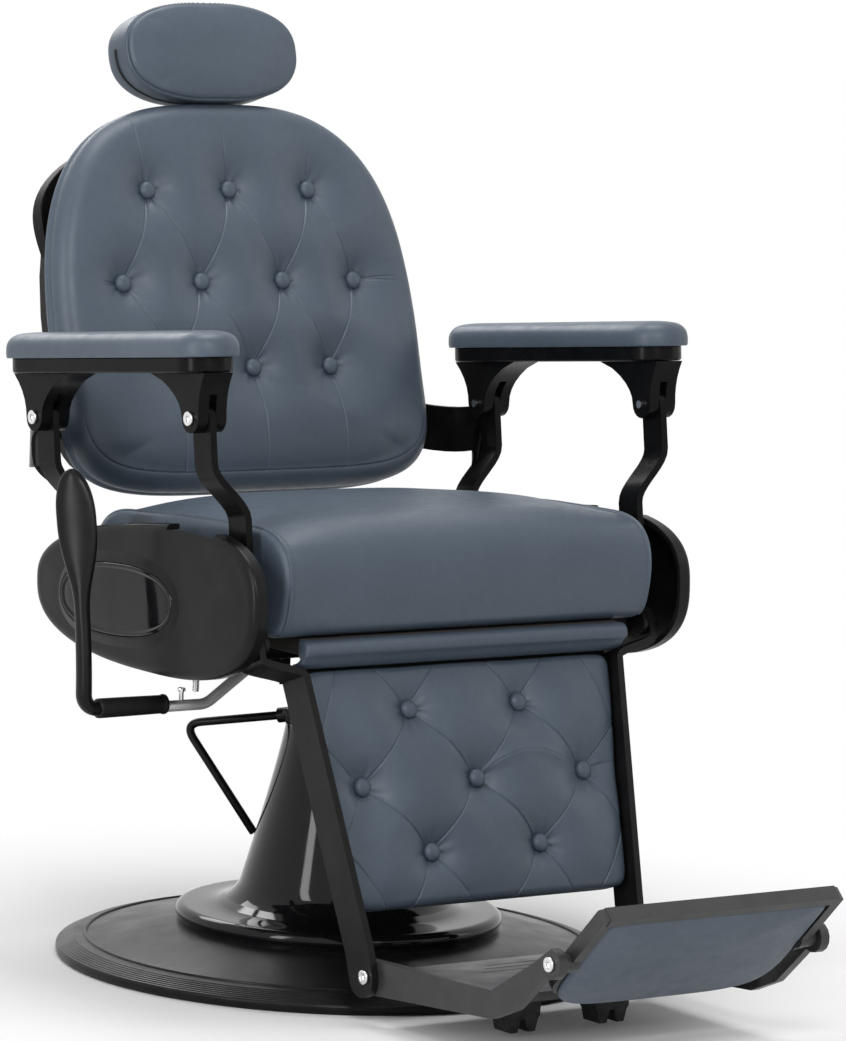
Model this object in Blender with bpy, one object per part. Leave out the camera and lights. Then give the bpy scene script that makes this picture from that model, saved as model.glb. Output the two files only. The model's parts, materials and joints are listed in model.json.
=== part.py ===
"""Reclining barber chair: lift and swivel base, tufted back, linked arms, legrest and flip footrest.

Metres, +Z up. The chair faces -Y and the sitter's right side is -X. The origin is the centre of the
base on the floor. Side by side pieces are made by loops over SIDES.
"""
import math

import bmesh
import bpy
from mathutils import Matrix, Vector

# Driving dimensions
gap = 0.0003                     # clearance between pieces that touch
pivot_play = 0.0004              # radial play of a pivot in its bore

base_radius = 0.330
base_rim_height = 0.021
base_crown_height = 0.044
skirt_radius = 0.1915
skirt_flange_height = 0.0205
skirt_sweep_height = 0.045         # where the flange has swept up into the column
skirt_waist_radius = 0.1175
skirt_neck_radius = 0.070
skirt_top = 0.278
skirt_wall = 0.004
cylinder_radius = 0.046
cylinder_wall = 0.0155
cylinder_floor = 0.012
collar_radius = 0.066
collar_height = 0.024
collar_boss = (0.0735, 0.084)      # radii between which the boss for the lock bar runs
collar_boss_radius = 0.009
lock_bar_diameter = 0.010
lock_bar_heading = math.radians(125)  # vertical plane of the bar, from the sitter's left
lock_bar_root = (0.0745, 0.2825)   # radius and height
lock_bar_corner = (0.203, 0.2606)
lock_bar_foot = (0.1095, 0.1385)
lock_bar_bend = 0.014
ram_top = 0.372
ram_engagement = 0.24

seat_frame_front = -0.145
seat_frame_rear = 0.130
seat_frame_lift = 0.013             # underside of the seat frame above the ram
seat_frame_height = 0.016
hub_radius = 0.055
hub_length = 0.045

seat_half_width = 0.2575
seat_front = -0.2585
seat_rear = 0.168
seat_cushion_height = 0.1155
seat_front_round = 0.090
seat_rear_round = 0.055
seat_front_tuck = 0.020          # how far the front bottom edge sits behind the bulge
seat_crown = 0.008
seat_board_half_width = 0.222
seat_board_thickness = 0.0179
apron_half_width = 0.230
apron_depth = 0.020
apron_front = -0.239

plate_inner_x = 0.263
plate_thickness = 0.006
plate_stud_radius = 0.008
plate_stud_length = 0.019
plate_tab_radius = 0.0145

cover_outer_x = 0.311
cover_depth = 0.022
cover_wall = 0.004
cover_length = 0.455
cover_half_height = 0.0895
cover_taper = 0.16
cover_roundness = 2.6
cover_tilt = math.radians(3.3)
cover_centre = (-0.024, 0.4495)
cover_bevel = 0.008
cover_notch = (-0.165, -0.070)     # room in the rim for the swinging arm strap, rear end last
cover_notch_depth = 0.0178
cover_post_radius = 0.007
cover_post_offset = 0.060
badge_half_length = 0.126
badge_half_height = 0.043
badge_thickness = 0.004
badge_roundness = 2.3
badge_centre = (0.028, 0.442)

arm_x = 0.316
arm_tilt = math.radians(5.67)
arm_front_pivot = (-0.1523, 0.6614)
arm_pivot_spacing = 0.3248
arm_pad_length = 0.4235
arm_pad_shift = -0.006           # middle of the pad ahead of the middle of the pivots
arm_pad_width = 0.076
arm_pad_thickness = 0.028
arm_plate_length = 0.402
arm_plate_width = 0.068
arm_plate_thickness = 0.0185
arm_plate_lift = 0.0505          # underside of the arm plate above the pivot line
fork_width = 0.038
fork_slot_height = 0.026
fork_ear_radius = 0.0165
fork_flare_inner = 0.078
fork_flare_front = 0.031
fork_flare_rear = 0.042
pin_radius = 0.005
pin_head_radius = 0.0085
pin_head_height = 0.004

back_pivot = (0.145, 0.455)
strap_thickness = 0.0085
strap_width = 0.036
strap_inner_x = 0.2745
strap_bend_start = 0.052         # from the upper pivot, along the strap
strap_bend_length = 0.062

back_face = (0.2173, 0.6755)     # y, z of the middle of the lowest row of buttons
back_recline = math.radians(16.1)
back_half_width = 0.2575
back_rise = 0.323
back_drop = 0.147
back_top_roundness = 3.0
back_bottom_roundness = 4.7
back_cushion_depth = 0.050
back_crown = 0.016
back_board_thickness = 0.010
back_shell_depth = 0.038
back_shell_inset = 0.022
back_shell_wall = 0.004
tuft_depth = 0.015
tuft_radius = 0.026
back_rows = ((0.217, (-0.115, 0.0, 0.115)), (0.105, (-0.165, -0.058, 0.058, 0.165)),
             (0.0, (-0.113, 0.0, 0.113)))
web_foot_low = -0.068
web_foot_height = 0.070
web_foot_thickness = 0.008
web_height = 0.055
web_thickness = 0.008
handle_low = 0.150
handle_high = 0.258
handle_reach = 0.022
handle_thickness = 0.020

headrest_half_width = 0.122
headrest_half_height = 0.060
headrest_depth = 0.056
headrest_centre = 0.3865
headrest_crown = 0.010
headrest_roundness = 2.5
post_width = 0.032
post_thickness = 0.006
post_length = 0.200
guide_wall = 0.004
guide_length = 0.080

legrest_pivot = (-0.2058, 0.4128)
legrest_tilt = math.radians(19.0)
legrest_face = 0.0025            # button plane ahead of the pivot, square to the bars
legrest_top = 0.0325
legrest_length = 0.272
legrest_top_half_width = 0.2150
legrest_bottom_half_width = 0.1890
legrest_depth = 0.026
legrest_crown = 0.012
legrest_board_thickness = 0.010
legrest_rows = ((0.050, (-0.077, 0.077)), (0.134, (-0.155, 0.0, 0.155)), (0.213, (-0.076, 0.076)))
bar_width = 0.045
bar_thickness = 0.0085
bar_setback = 0.008
bar_length = 0.378               # legrest pivot to footplate pivot
bar_top = 0.022
bar_crank_start = 0.019
bar_crank_length = 0.020
bar_top_x = 0.2745
bar_side_gap = 0.0012
bar_straight = 0.030

footplate_wall = 0.012
footplate_thickness = 0.010
deck_rear = 0.05                 # deck ends as shares of the way from the rear pivot to the front one
deck_front = 0.74
deck_rear_lift = 0.006           # deck top above the line between the pivots
deck_front_lift = -0.031
footplate_rear_boss = 0.021
footplate_front_boss = 0.017
footplate_front_pivot = (-0.652, 0.129)
footplate_grooves = 7
groove_pitch = 0.022
groove_width = 0.003
groove_depth = 0.0015
foot_spacing = 0.124
foot_y = -0.432
foot_width = 0.048
foot_length = 0.030
foot_floor_gap = 0.004

panel_tilt = math.radians(44.5)  # lean of the flip footrest forward from upright
panel_above = 0.086
panel_below = 0.0805
panel_bow = 0.017                # how far the lower edge bows down in the middle
panel_corner = 0.024
panel_half_width = 0.157
tray_thickness = 0.0105
tray_back = 0.010                # back of the tray behind the hinge line
panel_pad_thickness = 0.007
panel_crown = 0.006
panel_trim_height = 0.012
knuckle_radius = 0.010
knuckle_overlap = 0.005

lever_pivot = (-0.105, 0.0, 0.366)
lever_rod_radius = 0.0065
lever_sleeve_radius = 0.0115
lever_low = 0.313
lever_sleeve_inner_x = -0.254
lever_sleeve_outer_x = -0.346
lever_knee = (-0.198, -0.140)
grip_x = -0.364
grip_top = 0.585
grip_half_width = 0.024
grip_half_thickness = 0.007
stem_half_width = 0.011
grip_lean = 0.040
clamp_screw_radius = 0.003
clamp_screw_height = 0.014
stop_bolt_radius = 0.004
stop_bolt_drop = 0.042
stop_bolt_y = -0.080

round_steps = 32
wide_steps = 40
small_steps = 14

SIDES = (("left", 1.0), ("right", -1.0))

# Sizes that follow from the driving dimensions
arm_rear_pivot = (arm_front_pivot[0] + arm_pivot_spacing * math.cos(arm_tilt),
                  arm_front_pivot[1] - arm_pivot_spacing * math.sin(arm_tilt))
link = (back_pivot[0] - arm_rear_pivot[0], back_pivot[1] - arm_rear_pivot[1])
link_length = math.hypot(*link)
link_lean = math.atan2(link[0], -link[1])
strap_pivot = (arm_front_pivot[0] + link[0], arm_front_pivot[1] + link[1])
plate_outer_x = plate_inner_x + plate_thickness
stud_bore = plate_stud_radius + pivot_play
pin_bore = pin_radius + pivot_play
cylinder_bore = cylinder_radius - cylinder_wall
ram_radius = cylinder_bore - pivot_play
skirt_floor = base_crown_height + gap
collar_bottom = skirt_top + gap
lock_bar_slope = (lock_bar_corner[1] - lock_bar_root[1]) / (lock_bar_corner[0] - lock_bar_root[0])
seat_frame_bottom = ram_top + seat_frame_lift
seat_board_bottom = seat_frame_bottom + seat_frame_height + gap
seat_bottom = seat_board_bottom + seat_board_thickness + gap
seat_top = seat_bottom + seat_cushion_height
footplate_rear_pivot = (legrest_pivot[0] - bar_length * math.sin(legrest_tilt),
                        legrest_pivot[1] - bar_length * math.cos(legrest_tilt))


# Scene and materials
for old in list(bpy.data.objects):
    bpy.data.objects.remove(old, do_unlink=True)


def material(name, colour, roughness, metallic=0.0):
    """A plain Principled material."""
    made = bpy.data.materials.new(name)
    made.use_nodes = True
    shader = made.node_tree.nodes["Principled BSDF"]
    shader.inputs["Base Color"].default_value = (*colour, 1.0)
    shader.inputs["Roughness"].default_value = roughness
    shader.inputs["Metallic"].default_value = metallic
    return made


LEATHER = material("upholstery", (0.095, 0.122, 0.150), 0.42)
BLACK = material("black_paint", (0.012, 0.012, 0.013), 0.42, 0.3)
GLOSS = material("gloss_black", (0.006, 0.006, 0.007), 0.10)
GREY = material("grey_casting", (0.050, 0.050, 0.053), 0.48, 0.4)
STEEL = material("polished_steel", (0.62, 0.62, 0.63), 0.18, 1.0)
RUBBER = material("black_rubber", (0.010, 0.010, 0.010), 0.75)
WOOD = material("plywood", (0.42, 0.29, 0.17), 0.70)


# Joint frames: one empty per moving body, on its joint axis
FRAMES = {}


def joint_frame(name, place, parent=None):
    """An empty at a joint, which carries the pieces that move there."""
    frame = bpy.data.objects.new("frame_" + name, None)
    bpy.context.collection.objects.link(frame)
    origin = Vector(place)
    if parent is not None:
        frame.parent = FRAMES[parent][0]
        origin = origin - FRAMES[parent][1]
    frame.location = origin
    FRAMES[name] = (frame, Vector(place))


def yz(pair, x=0.0):
    """A point from its (y, z) pair."""
    return Vector((x, pair[0], pair[1]))


def lock_point(radius, height, aside=0.0):
    """A point in the upright plane of the lock bar, or aside from it."""
    c, s = math.cos(lock_bar_heading), math.sin(lock_bar_heading)
    return Vector((radius * c - aside * s, radius * s + aside * c, height))


joint_frame("base", (0, 0, 0))
joint_frame("lock", lock_point(*lock_bar_root), "base")
joint_frame("lift", (0, 0, ram_top), "base")
joint_frame("seat", (0, 0, seat_frame_bottom), "lift")
joint_frame("lever", lever_pivot, "seat")
joint_frame("back", yz(back_pivot), "seat")
joint_frame("headrest", yz(back_face), "back")
joint_frame("legrest", yz(legrest_pivot), "seat")
joint_frame("footplate", yz(footplate_rear_pivot), "legrest")
joint_frame("panel", yz(footplate_front_pivot), "footplate")
for side, sign in SIDES:
    joint_frame("strap_" + side, yz(strap_pivot, sign * strap_inner_x), "seat")
    joint_frame("arm_" + side, yz(arm_front_pivot, sign * arm_x), "strap_" + side)


def emit(name, shape, finish, body, sharp=35.0):
    """Make a named object from a bmesh in world metres, with its origin on its body's joint."""
    frame, origin = FRAMES[body]
    bmesh.ops.recalc_face_normals(shape, faces=shape.faces)
    if shape.calc_volume(signed=True) < 0:
        bmesh.ops.reverse_faces(shape, faces=shape.faces)
    shape.transform(Matrix.Translation(-origin))
    mesh = bpy.data.meshes.new(name)
    shape.to_mesh(mesh)
    shape.free()
    mesh.shade_smooth()
    mesh.set_sharp_from_angle(angle=math.radians(sharp))
    mesh.materials.append(finish)
    made = bpy.data.objects.new(name, mesh)
    bpy.context.collection.objects.link(made)
    made.parent = frame
    return made


def helper(shape, body):
    """A hidden cutter or addition for a Boolean."""
    made = emit("helper", shape, BLACK, body)
    made.hide_render = True
    made.display_type = "WIRE"
    return made


def combine(target, shape, body, how="DIFFERENCE"):
    """Cut, join or trim a piece with another shape."""
    step = target.modifiers.new(how.lower(), "BOOLEAN")
    step.operation = how
    step.solver = "EXACT"
    step.object = helper(shape, body)


def soften(target, width, segments=2, angle=40.0):
    """Round the sharp edges of a piece."""
    step = target.modifiers.new("soften", "BEVEL")
    step.width = width
    step.segments = segments
    step.limit_method = "ANGLE"
    step.angle_limit = math.radians(angle)


# Shape helpers
def turned(profile, steps=round_steps):
    """Spin a closed (radius, height) outline about Z."""
    shape = bmesh.new()
    rings = []
    for radius, height in profile:
        if radius < 1e-6:
            rings.append([shape.verts.new((0, 0, height))])
            continue
        ring = []
        for step in range(steps):
            turn = 2 * math.pi * step / steps
            ring.append(shape.verts.new((radius * math.cos(turn), radius * math.sin(turn), height)))
        rings.append(ring)
    for this, after in zip(rings, rings[1:] + rings[:1]):
        for step in range(steps):
            a, b = this[step % len(this)], this[(step + 1) % len(this)]
            c, d = after[(step + 1) % len(after)], after[step % len(after)]
            corners = list(dict.fromkeys((a, b, c, d)))
            if len(corners) > 2:
                shape.faces.new(corners)
    return shape


def slab(outline, low, high, place):
    """Extrude a flat outline of (u, v) points from low to high; place maps (u, v, w) to the world."""
    shape = bmesh.new()
    bottom = [shape.verts.new(place(u, v, low)) for u, v in outline]
    top = [shape.verts.new(place(u, v, high)) for u, v in outline]
    shape.faces.new(bottom)
    shape.faces.new(top)
    count = len(outline)
    for i in range(count):
        j = (i + 1) % count
        shape.faces.new((bottom[i], bottom[j], top[j], top[i]))
    return shape


def block(low, high):
    """A box between two corners."""
    return slab(((low[0], low[1]), (high[0], low[1]), (high[0], high[1]), (low[0], high[1])),
                low[2], high[2], lambda u, v, w: (u, v, w))


def rod(start, end, radius, steps=small_steps):
    """A straight round bar between two points."""
    start, end = Vector(start), Vector(end)
    along = end - start
    shape = bmesh.new()
    bmesh.ops.create_cone(shape, cap_ends=True, segments=steps, radius1=radius, radius2=radius,
                          depth=along.length)
    turn = along.to_track_quat("Z", "Y").to_matrix().to_4x4()
    shape.transform(Matrix.Translation((start + end) / 2) @ turn)
    return shape


def cross_rod(x_from, x_to, centre, radius, steps=small_steps):
    """A round bar along X through a (y, z) point."""
    return rod(yz(centre, x_from), yz(centre, x_to), radius, steps)


def arc(centre, radius, start, end, steps):
    """Points on an arc, angles in degrees."""
    points = []
    for i in range(steps + 1):
        turn = math.radians(start + (end - start) * i / steps)
        points.append((centre[0] + radius * math.cos(turn), centre[1] + radius * math.sin(turn)))
    return points


def stadium(start, end, radius, steps=10):
    """A rounded bar outline around two points in a plane."""
    facing = math.degrees(math.atan2(end[1] - start[1], end[0] - start[0]))
    return (arc(end, radius, facing - 90, facing + 90, steps)
            + arc(start, radius, facing + 90, facing + 270, steps))


def egg(length, half_height, roundness, taper, inset=0.0, steps=44):
    """A superellipse outline whose +u end is fuller than its -u end."""
    points = []
    for i in range(steps):
        turn = 2 * math.pi * i / steps
        c, s = math.cos(turn), math.sin(turn)
        u = math.copysign(abs(c) ** (2 / roundness), c)
        v = math.copysign(abs(s) ** (2 / roundness), s)
        points.append((u * (length / 2 - inset), v * (half_height * (1 + taper * u) - inset)))
    return points


def smooth_step(value):
    """0 to 1 with level ends."""
    value = min(max(value, 0.0), 1.0)
    return value * value * (3 - 2 * value)


def bent_strip(path, thickness):
    """The outline of a strip of even thickness that follows a path in a plane."""
    left, right = [], []
    for i, point in enumerate(path):
        before = path[max(i - 1, 0)]
        after = path[min(i + 1, len(path) - 1)]
        along = Vector((after[0] - before[0], after[1] - before[1])).normalized()
        side = Vector((-along.y, along.x)) * thickness / 2
        left.append((point[0] + side.x, point[1] + side.y))
        right.append((point[0] - side.x, point[1] - side.y))
    return left + right[::-1]


def tube(points, radius, steps=10):
    """A round bar along a list of points, with flat ends."""
    points = [Vector(p) for p in points]
    shape = bmesh.new()
    rings = []
    lift = Vector((0, 1, 0))
    for i, point in enumerate(points):
        along = (points[min(i + 1, len(points) - 1)] - points[max(i - 1, 0)]).normalized()
        out = along.cross(lift).normalized()
        over = out.cross(along).normalized()
        ring = []
        for step in range(steps):
            turn = 2 * math.pi * step / steps
            ring.append(shape.verts.new(point + radius * (math.cos(turn) * out + math.sin(turn) * over)))
        rings.append(ring)
    for this, after in zip(rings, rings[1:]):
        for step in range(steps):
            other = (step + 1) % steps
            shape.faces.new((this[step], this[other], after[other], after[step]))
    shape.faces.new(rings[0])
    shape.faces.new(rings[-1])
    return shape


def rounded_path(corners, radius, steps=6):
    """Corner points with each inner corner replaced by an arc like curve."""
    corners = [Vector(c) for c in corners]
    points = [corners[0]]
    for before, corner, after in zip(corners, corners[1:], corners[2:]):
        reach = min(radius, (before - corner).length / 2, (after - corner).length / 2)
        start = corner + (before - corner).normalized() * reach
        end = corner + (after - corner).normalized() * reach
        for i in range(steps + 1):
            t = i / steps
            points.append(start * (1 - t) ** 2 + corner * 2 * t * (1 - t) + end * t ** 2)
    points.append(corners[-1])
    return points


def rounded_outline(corners, steps):
    """A closed outline of (u, v, reach) corners, each rounded over its reach."""
    points = []
    for i, (u, v, reach) in enumerate(corners):
        corner = Vector((u, v))
        before = Vector(corners[i - 1][:2]) - corner
        after = Vector(corners[(i + 1) % len(corners)][:2]) - corner
        start = corner + before.normalized() * reach
        end = corner + after.normalized() * reach
        count = steps if reach > 0.02 else 3
        for k in range(count + 1):
            t = k / count
            points.append(tuple(start * (1 - t) ** 2 + corner * 2 * t * (1 - t) + end * t ** 2))
    return points


def loft(rings):
    """A closed skin through rings of equal point count, with flat ends."""
    shape = bmesh.new()
    made = [[shape.verts.new(p) for p in ring] for ring in rings]
    for this, after in zip(made, made[1:]):
        count = len(this)
        for i in range(count):
            j = (i + 1) % count
            shape.faces.new((this[i], this[j], after[j], after[i]))
    shape.faces.new(made[0])
    shape.faces.new(made[-1])
    return shape


def pad(half_width_at, low, high, face, rings, place, columns=26, rows=26):
    """A closed cushion: a crowned face over rows from low to high, and drawn-in sides.

    half_width_at(v) is the half width of a row, face(u, v, edge) the height of the face where edge
    runs from 0 at the outline to 1 inside, and rings lists (scale, height) loops down to the back.
    """
    shape = bmesh.new()
    middle = (low + high) / 2
    grid = []
    for r in range(rows + 1):
        t = -math.cos(math.pi * (0.06 + 0.88 * r / rows))
        v = middle + (high - low) / 2 * t / math.cos(math.pi * 0.06)
        line = []
        for c in range(columns + 1):
            share = math.sin(math.pi * (c / columns - 0.5) * 0.92) / math.sin(math.pi * 0.46)
            u = half_width_at(v) * share
            edge_v = min(v - low, high - v)
            edge_u = half_width_at(v) * (1 - abs(share))
            edge = smooth_step(min(edge_u, edge_v) / 0.045)
            inset = rings[0][0]
            line.append((u * inset, middle + (v - middle) * inset, face(u, v, edge)))
        grid.append(line)
    top = [[shape.verts.new(place(*p)) for p in line] for line in grid]
    for r in range(rows):
        for c in range(columns):
            shape.faces.new((top[r][c], top[r][c + 1], top[r + 1][c + 1], top[r + 1][c]))
    loop = ([(0, c) for c in range(columns)] + [(r, columns) for r in range(rows)]
            + [(rows, c) for c in range(columns, 0, -1)] + [(r, 0) for r in range(rows, 0, -1)])
    inset = rings[0][0]
    above = [top[r][c] for r, c in loop]
    for scale, height in rings[1:]:
        ring = []
        for r, c in loop:
            u, v, _ = grid[r][c]
            point = place(u / inset * scale, middle + (v - middle) / inset * scale, height)
            ring.append(shape.verts.new(point))
        for i in range(len(loop)):
            j = (i + 1) % len(loop)
            shape.faces.new((above[i], above[j], ring[j], ring[i]))
        above = ring
    shape.faces.new(above)
    return shape


def tufted(rows, crown):
    """A face height with sewn tufts: crowned between the buttons and drawn in at each of them."""
    def face(u, v, edge):
        dip = 0.0
        for row_v, places in rows:
            for place_u in places:
                apart = math.hypot(u - place_u, v - row_v)
                dip = max(dip, math.exp(-(apart / tuft_radius) ** 2))
        return crown * edge - tuft_depth * dip * edge - 0.010 * (1 - edge)
    return face


def rounded_box(low, high, radius, cuts):
    """A box with rounded edges."""
    shape = bmesh.new()
    bmesh.ops.create_cube(shape, size=2.0)
    bmesh.ops.subdivide_edges(shape, edges=shape.edges, cuts=cuts, use_grid_fill=True)
    low, high = Vector(low), Vector(high)
    half = (high - low) / 2
    middle = (high + low) / 2
    for vert in shape.verts:
        share = vert.co.copy()
        for axis in range(3):
            share[axis] = math.sin(share[axis] * math.pi / 2 * 0.98) / math.sin(math.pi / 2 * 0.98)
        point = Vector(share[i] * half[i] for i in range(3))
        core = Vector(max(-(half[i] - radius), min(half[i] - radius, point[i])) for i in range(3))
        away = point - core
        if away.length > 1e-9:
            point = core + away.normalized() * radius
        vert.co = middle + point
    return shape


# Base and column
def base_plate():
    """Weighted disc with rolled rings near its rim and a low dome under the column."""
    r, h = base_radius, base_rim_height
    rise = base_crown_height - h
    outline = [(0, 0), (r - 0.006, 0), (r - 0.0015, 0.003), (r, 0.007), (r, h * 0.55), (r - 0.003, h * 0.85),
               (r - 0.009, h), (r - 0.017, h), (r - 0.019, h - 0.0015), (r - 0.021, h + 0.0005),
               (r - 0.028, h + 0.0025), (r - 0.036, h + 0.0025), (r - 0.038, h + 0.001),
               (r - 0.040, h + 0.003), (r - 0.060, h + 0.0055), (r - 0.062, h + 0.0040),
               (r - 0.065, h + 0.0050), (r - 0.090, h + rise * 0.55), (r - 0.120, h + rise * 0.85),
               (skirt_radius - 0.002, base_crown_height), (0, base_crown_height)]
    emit("base_plate", turned(outline, wide_steps), BLACK, "base", 25)


def column_skirt():
    """Flared gloss cover: a round-edged flange on the base that sweeps up into the column."""
    flange_top = skirt_floor + skirt_flange_height
    sweep_top = skirt_floor + skirt_sweep_height
    edge = skirt_flange_height / 2
    outer = [(skirt_radius - 0.003, skirt_floor)]
    for turn in (-35, 0, 30, 55, 78):
        a = math.radians(turn)
        height = skirt_floor + edge + edge * 0.9 * math.sin(a)
        outer.append((skirt_radius - edge + edge * math.cos(a), height))
    reach = outer[-1][0] - skirt_waist_radius
    for share in (0.3, 0.55, 0.75, 0.9, 1.0):
        outer.append((outer[5][0] - reach * share, flange_top + (sweep_top - flange_top) * share ** 4.5))
    fall = skirt_waist_radius - skirt_neck_radius
    for share in (0.3, 0.65, 1.0):
        height = sweep_top + (skirt_top - sweep_top) * share
        outer.append((skirt_neck_radius + fall * (1 - share) ** 1.15, height))
    bore = cylinder_radius + pivot_play
    wall = skirt_wall * 1.5
    inner = [(radius - wall, height - skirt_wall) for radius, height in outer[5:-1:2]]
    inner = [(skirt_radius - edge, skirt_floor), (skirt_radius - edge, skirt_floor + edge)] + inner
    outline = outer + [(bore, skirt_top), (bore, skirt_top - skirt_wall),
                       (skirt_neck_radius - wall, skirt_top - skirt_wall)] + inner[::-1]
    emit("column_skirt", turned(outline, wide_steps), GLOSS, "base", 30)


def pump_cylinder():
    """Hydraulic cylinder on its foot flange, closed below and open above for the ram."""
    top = collar_bottom + collar_height + 0.004
    flange = cylinder_radius + 0.026
    outline = [(0, skirt_floor), (flange, skirt_floor), (flange, skirt_floor + 0.010),
               (cylinder_radius, skirt_floor + 0.010), (cylinder_radius, top), (cylinder_bore, top),
               (cylinder_bore, skirt_floor + cylinder_floor), (0, skirt_floor + cylinder_floor)]
    emit("pump_cylinder", turned(outline), STEEL, "base")


def lock_axis_point(radius):
    """A point on the straight upper run of the lock bar."""
    return lock_point(radius, lock_bar_root[1] + lock_bar_slope * (radius - lock_bar_root[0]))


def column_collar():
    """Ring on top of the skirt, with the boss that carries the lock bar."""
    bore = cylinder_radius + pivot_play
    top = collar_bottom + collar_height
    outline = [(bore, collar_bottom), (collar_radius, collar_bottom), (collar_radius, top - 0.004),
               (collar_radius - 0.004, top), (bore, top)]
    collar = emit("column_collar", turned(outline), BLACK, "base")
    near, far = collar_boss
    low = collar_bottom + gap
    high = low + collar_height / 2
    inside, outside = collar_radius - 0.006, near + 0.003
    lug = ((inside, low), (outside, low), (outside, high), (inside, high))
    half = collar_boss_radius * 0.9
    combine(collar, slab(lug, -half, half, lock_point), "base", "UNION")
    combine(collar, rod(lock_axis_point(near), lock_axis_point(far), collar_boss_radius), "base", "UNION")
    bar_bore = lock_bar_diameter / 2 + pivot_play
    bore = rod(lock_axis_point(lock_bar_root[0] - gap), lock_axis_point(far + 0.01), bar_bore)
    combine(collar, bore, "base")


def swivel_lock_bar():
    """Bent round bar: its upper run turns in the collar boss and its foot hangs beside the column."""
    corners = [lock_point(*place) for place in (lock_bar_root, lock_bar_corner, lock_bar_foot)]
    shape = tube(rounded_path(corners, lock_bar_bend, 6), lock_bar_diameter / 2)
    emit("swivel_lock_bar", shape, BLACK, "lock")


def lift_ram():
    """Chrome ram inside the cylinder, up to the swivel hub."""
    foot = ram_top - ram_engagement - 0.060
    outline = [(0, foot), (ram_radius - 0.002, foot), (ram_radius, foot + 0.002),
               (ram_radius, ram_top - 0.002), (ram_radius - 0.002, ram_top), (0, ram_top)]
    emit("lift_ram", turned(outline), STEEL, "lift")


# Seat unit
def swivel_hub():
    """Cast hub that turns on the ram, with a flange under the seat frame."""
    top = seat_frame_bottom - gap
    bottom = top - hub_length
    bore = ram_radius + pivot_play
    flange = hub_radius + 0.030
    outline = [(0, ram_top + gap), (bore, ram_top + gap), (bore, bottom), (hub_radius, bottom),
               (hub_radius, top - 0.012), (flange, top - 0.010), (flange, top), (0, top)]
    emit("swivel_hub", turned(outline), BLACK, "seat")


def seat_frame():
    """Steel frame plate between the side plates."""
    low = (-(plate_inner_x - gap), seat_frame_front, seat_frame_bottom)
    high = (plate_inner_x - gap, seat_frame_rear, seat_frame_bottom + seat_frame_height)
    frame = emit("seat_frame", block(low, high), BLACK, "seat")
    soften(frame, 0.002, 1)


def side_plate(side, sign):
    """Side plate with one stud each for the back, the arm strap and the legrest bar."""
    corners = stadium((back_pivot[0] + 0.004, back_pivot[1]), (-0.150, 0.470), 0.046, 8)
    def place(u, v, w):
        return (sign * w, u, v)
    plate = emit("side_plate_" + side, slab(corners, plate_inner_x, plate_outer_x, place), BLACK, "seat")
    tab = stadium(legrest_pivot, (-0.165, 0.455), plate_tab_radius, 8)
    combine(plate, slab(tab, plate_inner_x, plate_outer_x, place), "seat", "UNION")
    rail = slab(((seat_frame_front, seat_frame_bottom), (seat_frame_rear, seat_frame_bottom),
                 (seat_frame_rear, 0.440), (seat_frame_front, 0.440)), plate_inner_x, plate_outer_x, place)
    combine(plate, rail, "seat", "UNION")
    for pivot in (back_pivot, strap_pivot, legrest_pivot):
        stud = cross_rod(sign * (plate_inner_x + 0.002), sign * (plate_outer_x + plate_stud_length), pivot,
                         plate_stud_radius)
        combine(plate, stud, "seat", "UNION")


def cover_point(sign):
    """Map cover outline points, with u forward and v up, to the world."""
    c, s = math.cos(cover_tilt), math.sin(cover_tilt)
    def place(u, v, w):
        return (sign * w, cover_centre[0] - u * c + v * s, cover_centre[1] + u * s + v * c)
    return place


def side_cover(side, sign):
    """Egg shaped hollow cover with two posts that stand on the side plate."""
    place = cover_point(sign)
    outline = egg(cover_length, cover_half_height, cover_roundness, cover_taper)
    inner_x = cover_outer_x - cover_depth
    cover = emit("side_cover_" + side, slab(outline, inner_x, cover_outer_x, place), BLACK, "seat", 50)
    soften(cover, cover_bevel, 2, 60)
    hollow = egg(cover_length, cover_half_height, cover_roundness, cover_taper,
                 cover_wall + cover_bevel * 0.4)
    combine(cover, slab(hollow, inner_x - 0.01, cover_outer_x - cover_wall, place), "seat")
    front, rear = cover_notch
    near, far = sorted((sign * (inner_x - 0.01), sign * (inner_x + cover_notch_depth)))
    notch_floor = cover_centre[1] + cover_half_height * 0.4
    notch_top = cover_centre[1] + cover_half_height * 1.5
    combine(cover, block((near, front, notch_floor), (far, rear, notch_top)), "seat")
    for offset in (-cover_post_offset, cover_post_offset):
        foot = place(offset + 0.030, -0.030, plate_outer_x + gap)
        head = place(offset + 0.030, -0.030, cover_outer_x - cover_wall / 2)
        combine(cover, rod(foot, head, cover_post_radius), "seat", "UNION")


def cover_badge(side, sign):
    """Bare oval of gloss plastic on the cover."""
    c, s = math.cos(cover_tilt), math.sin(cover_tilt)
    def place(u, v, w):
        return (sign * w, badge_centre[0] - u * c + v * s, badge_centre[1] + u * s + v * c)
    outline = egg(2 * badge_half_length, badge_half_height, badge_roundness, 0.0)
    start = cover_outer_x + gap
    shape = slab(outline, start, start + badge_thickness, place)
    badge = emit("cover_badge_" + side, shape, GLOSS, "seat", 50)
    soften(badge, badge_thickness * 0.45, 1, 60)


def seat_board():
    """Plywood board between the frame and the cushion."""
    low = (-seat_board_half_width, apron_front + apron_depth + gap, seat_board_bottom)
    high = (seat_board_half_width, seat_rear - seat_rear_round, seat_bottom - gap)
    emit("seat_board", block(low, high), WOOD, "seat")


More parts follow.
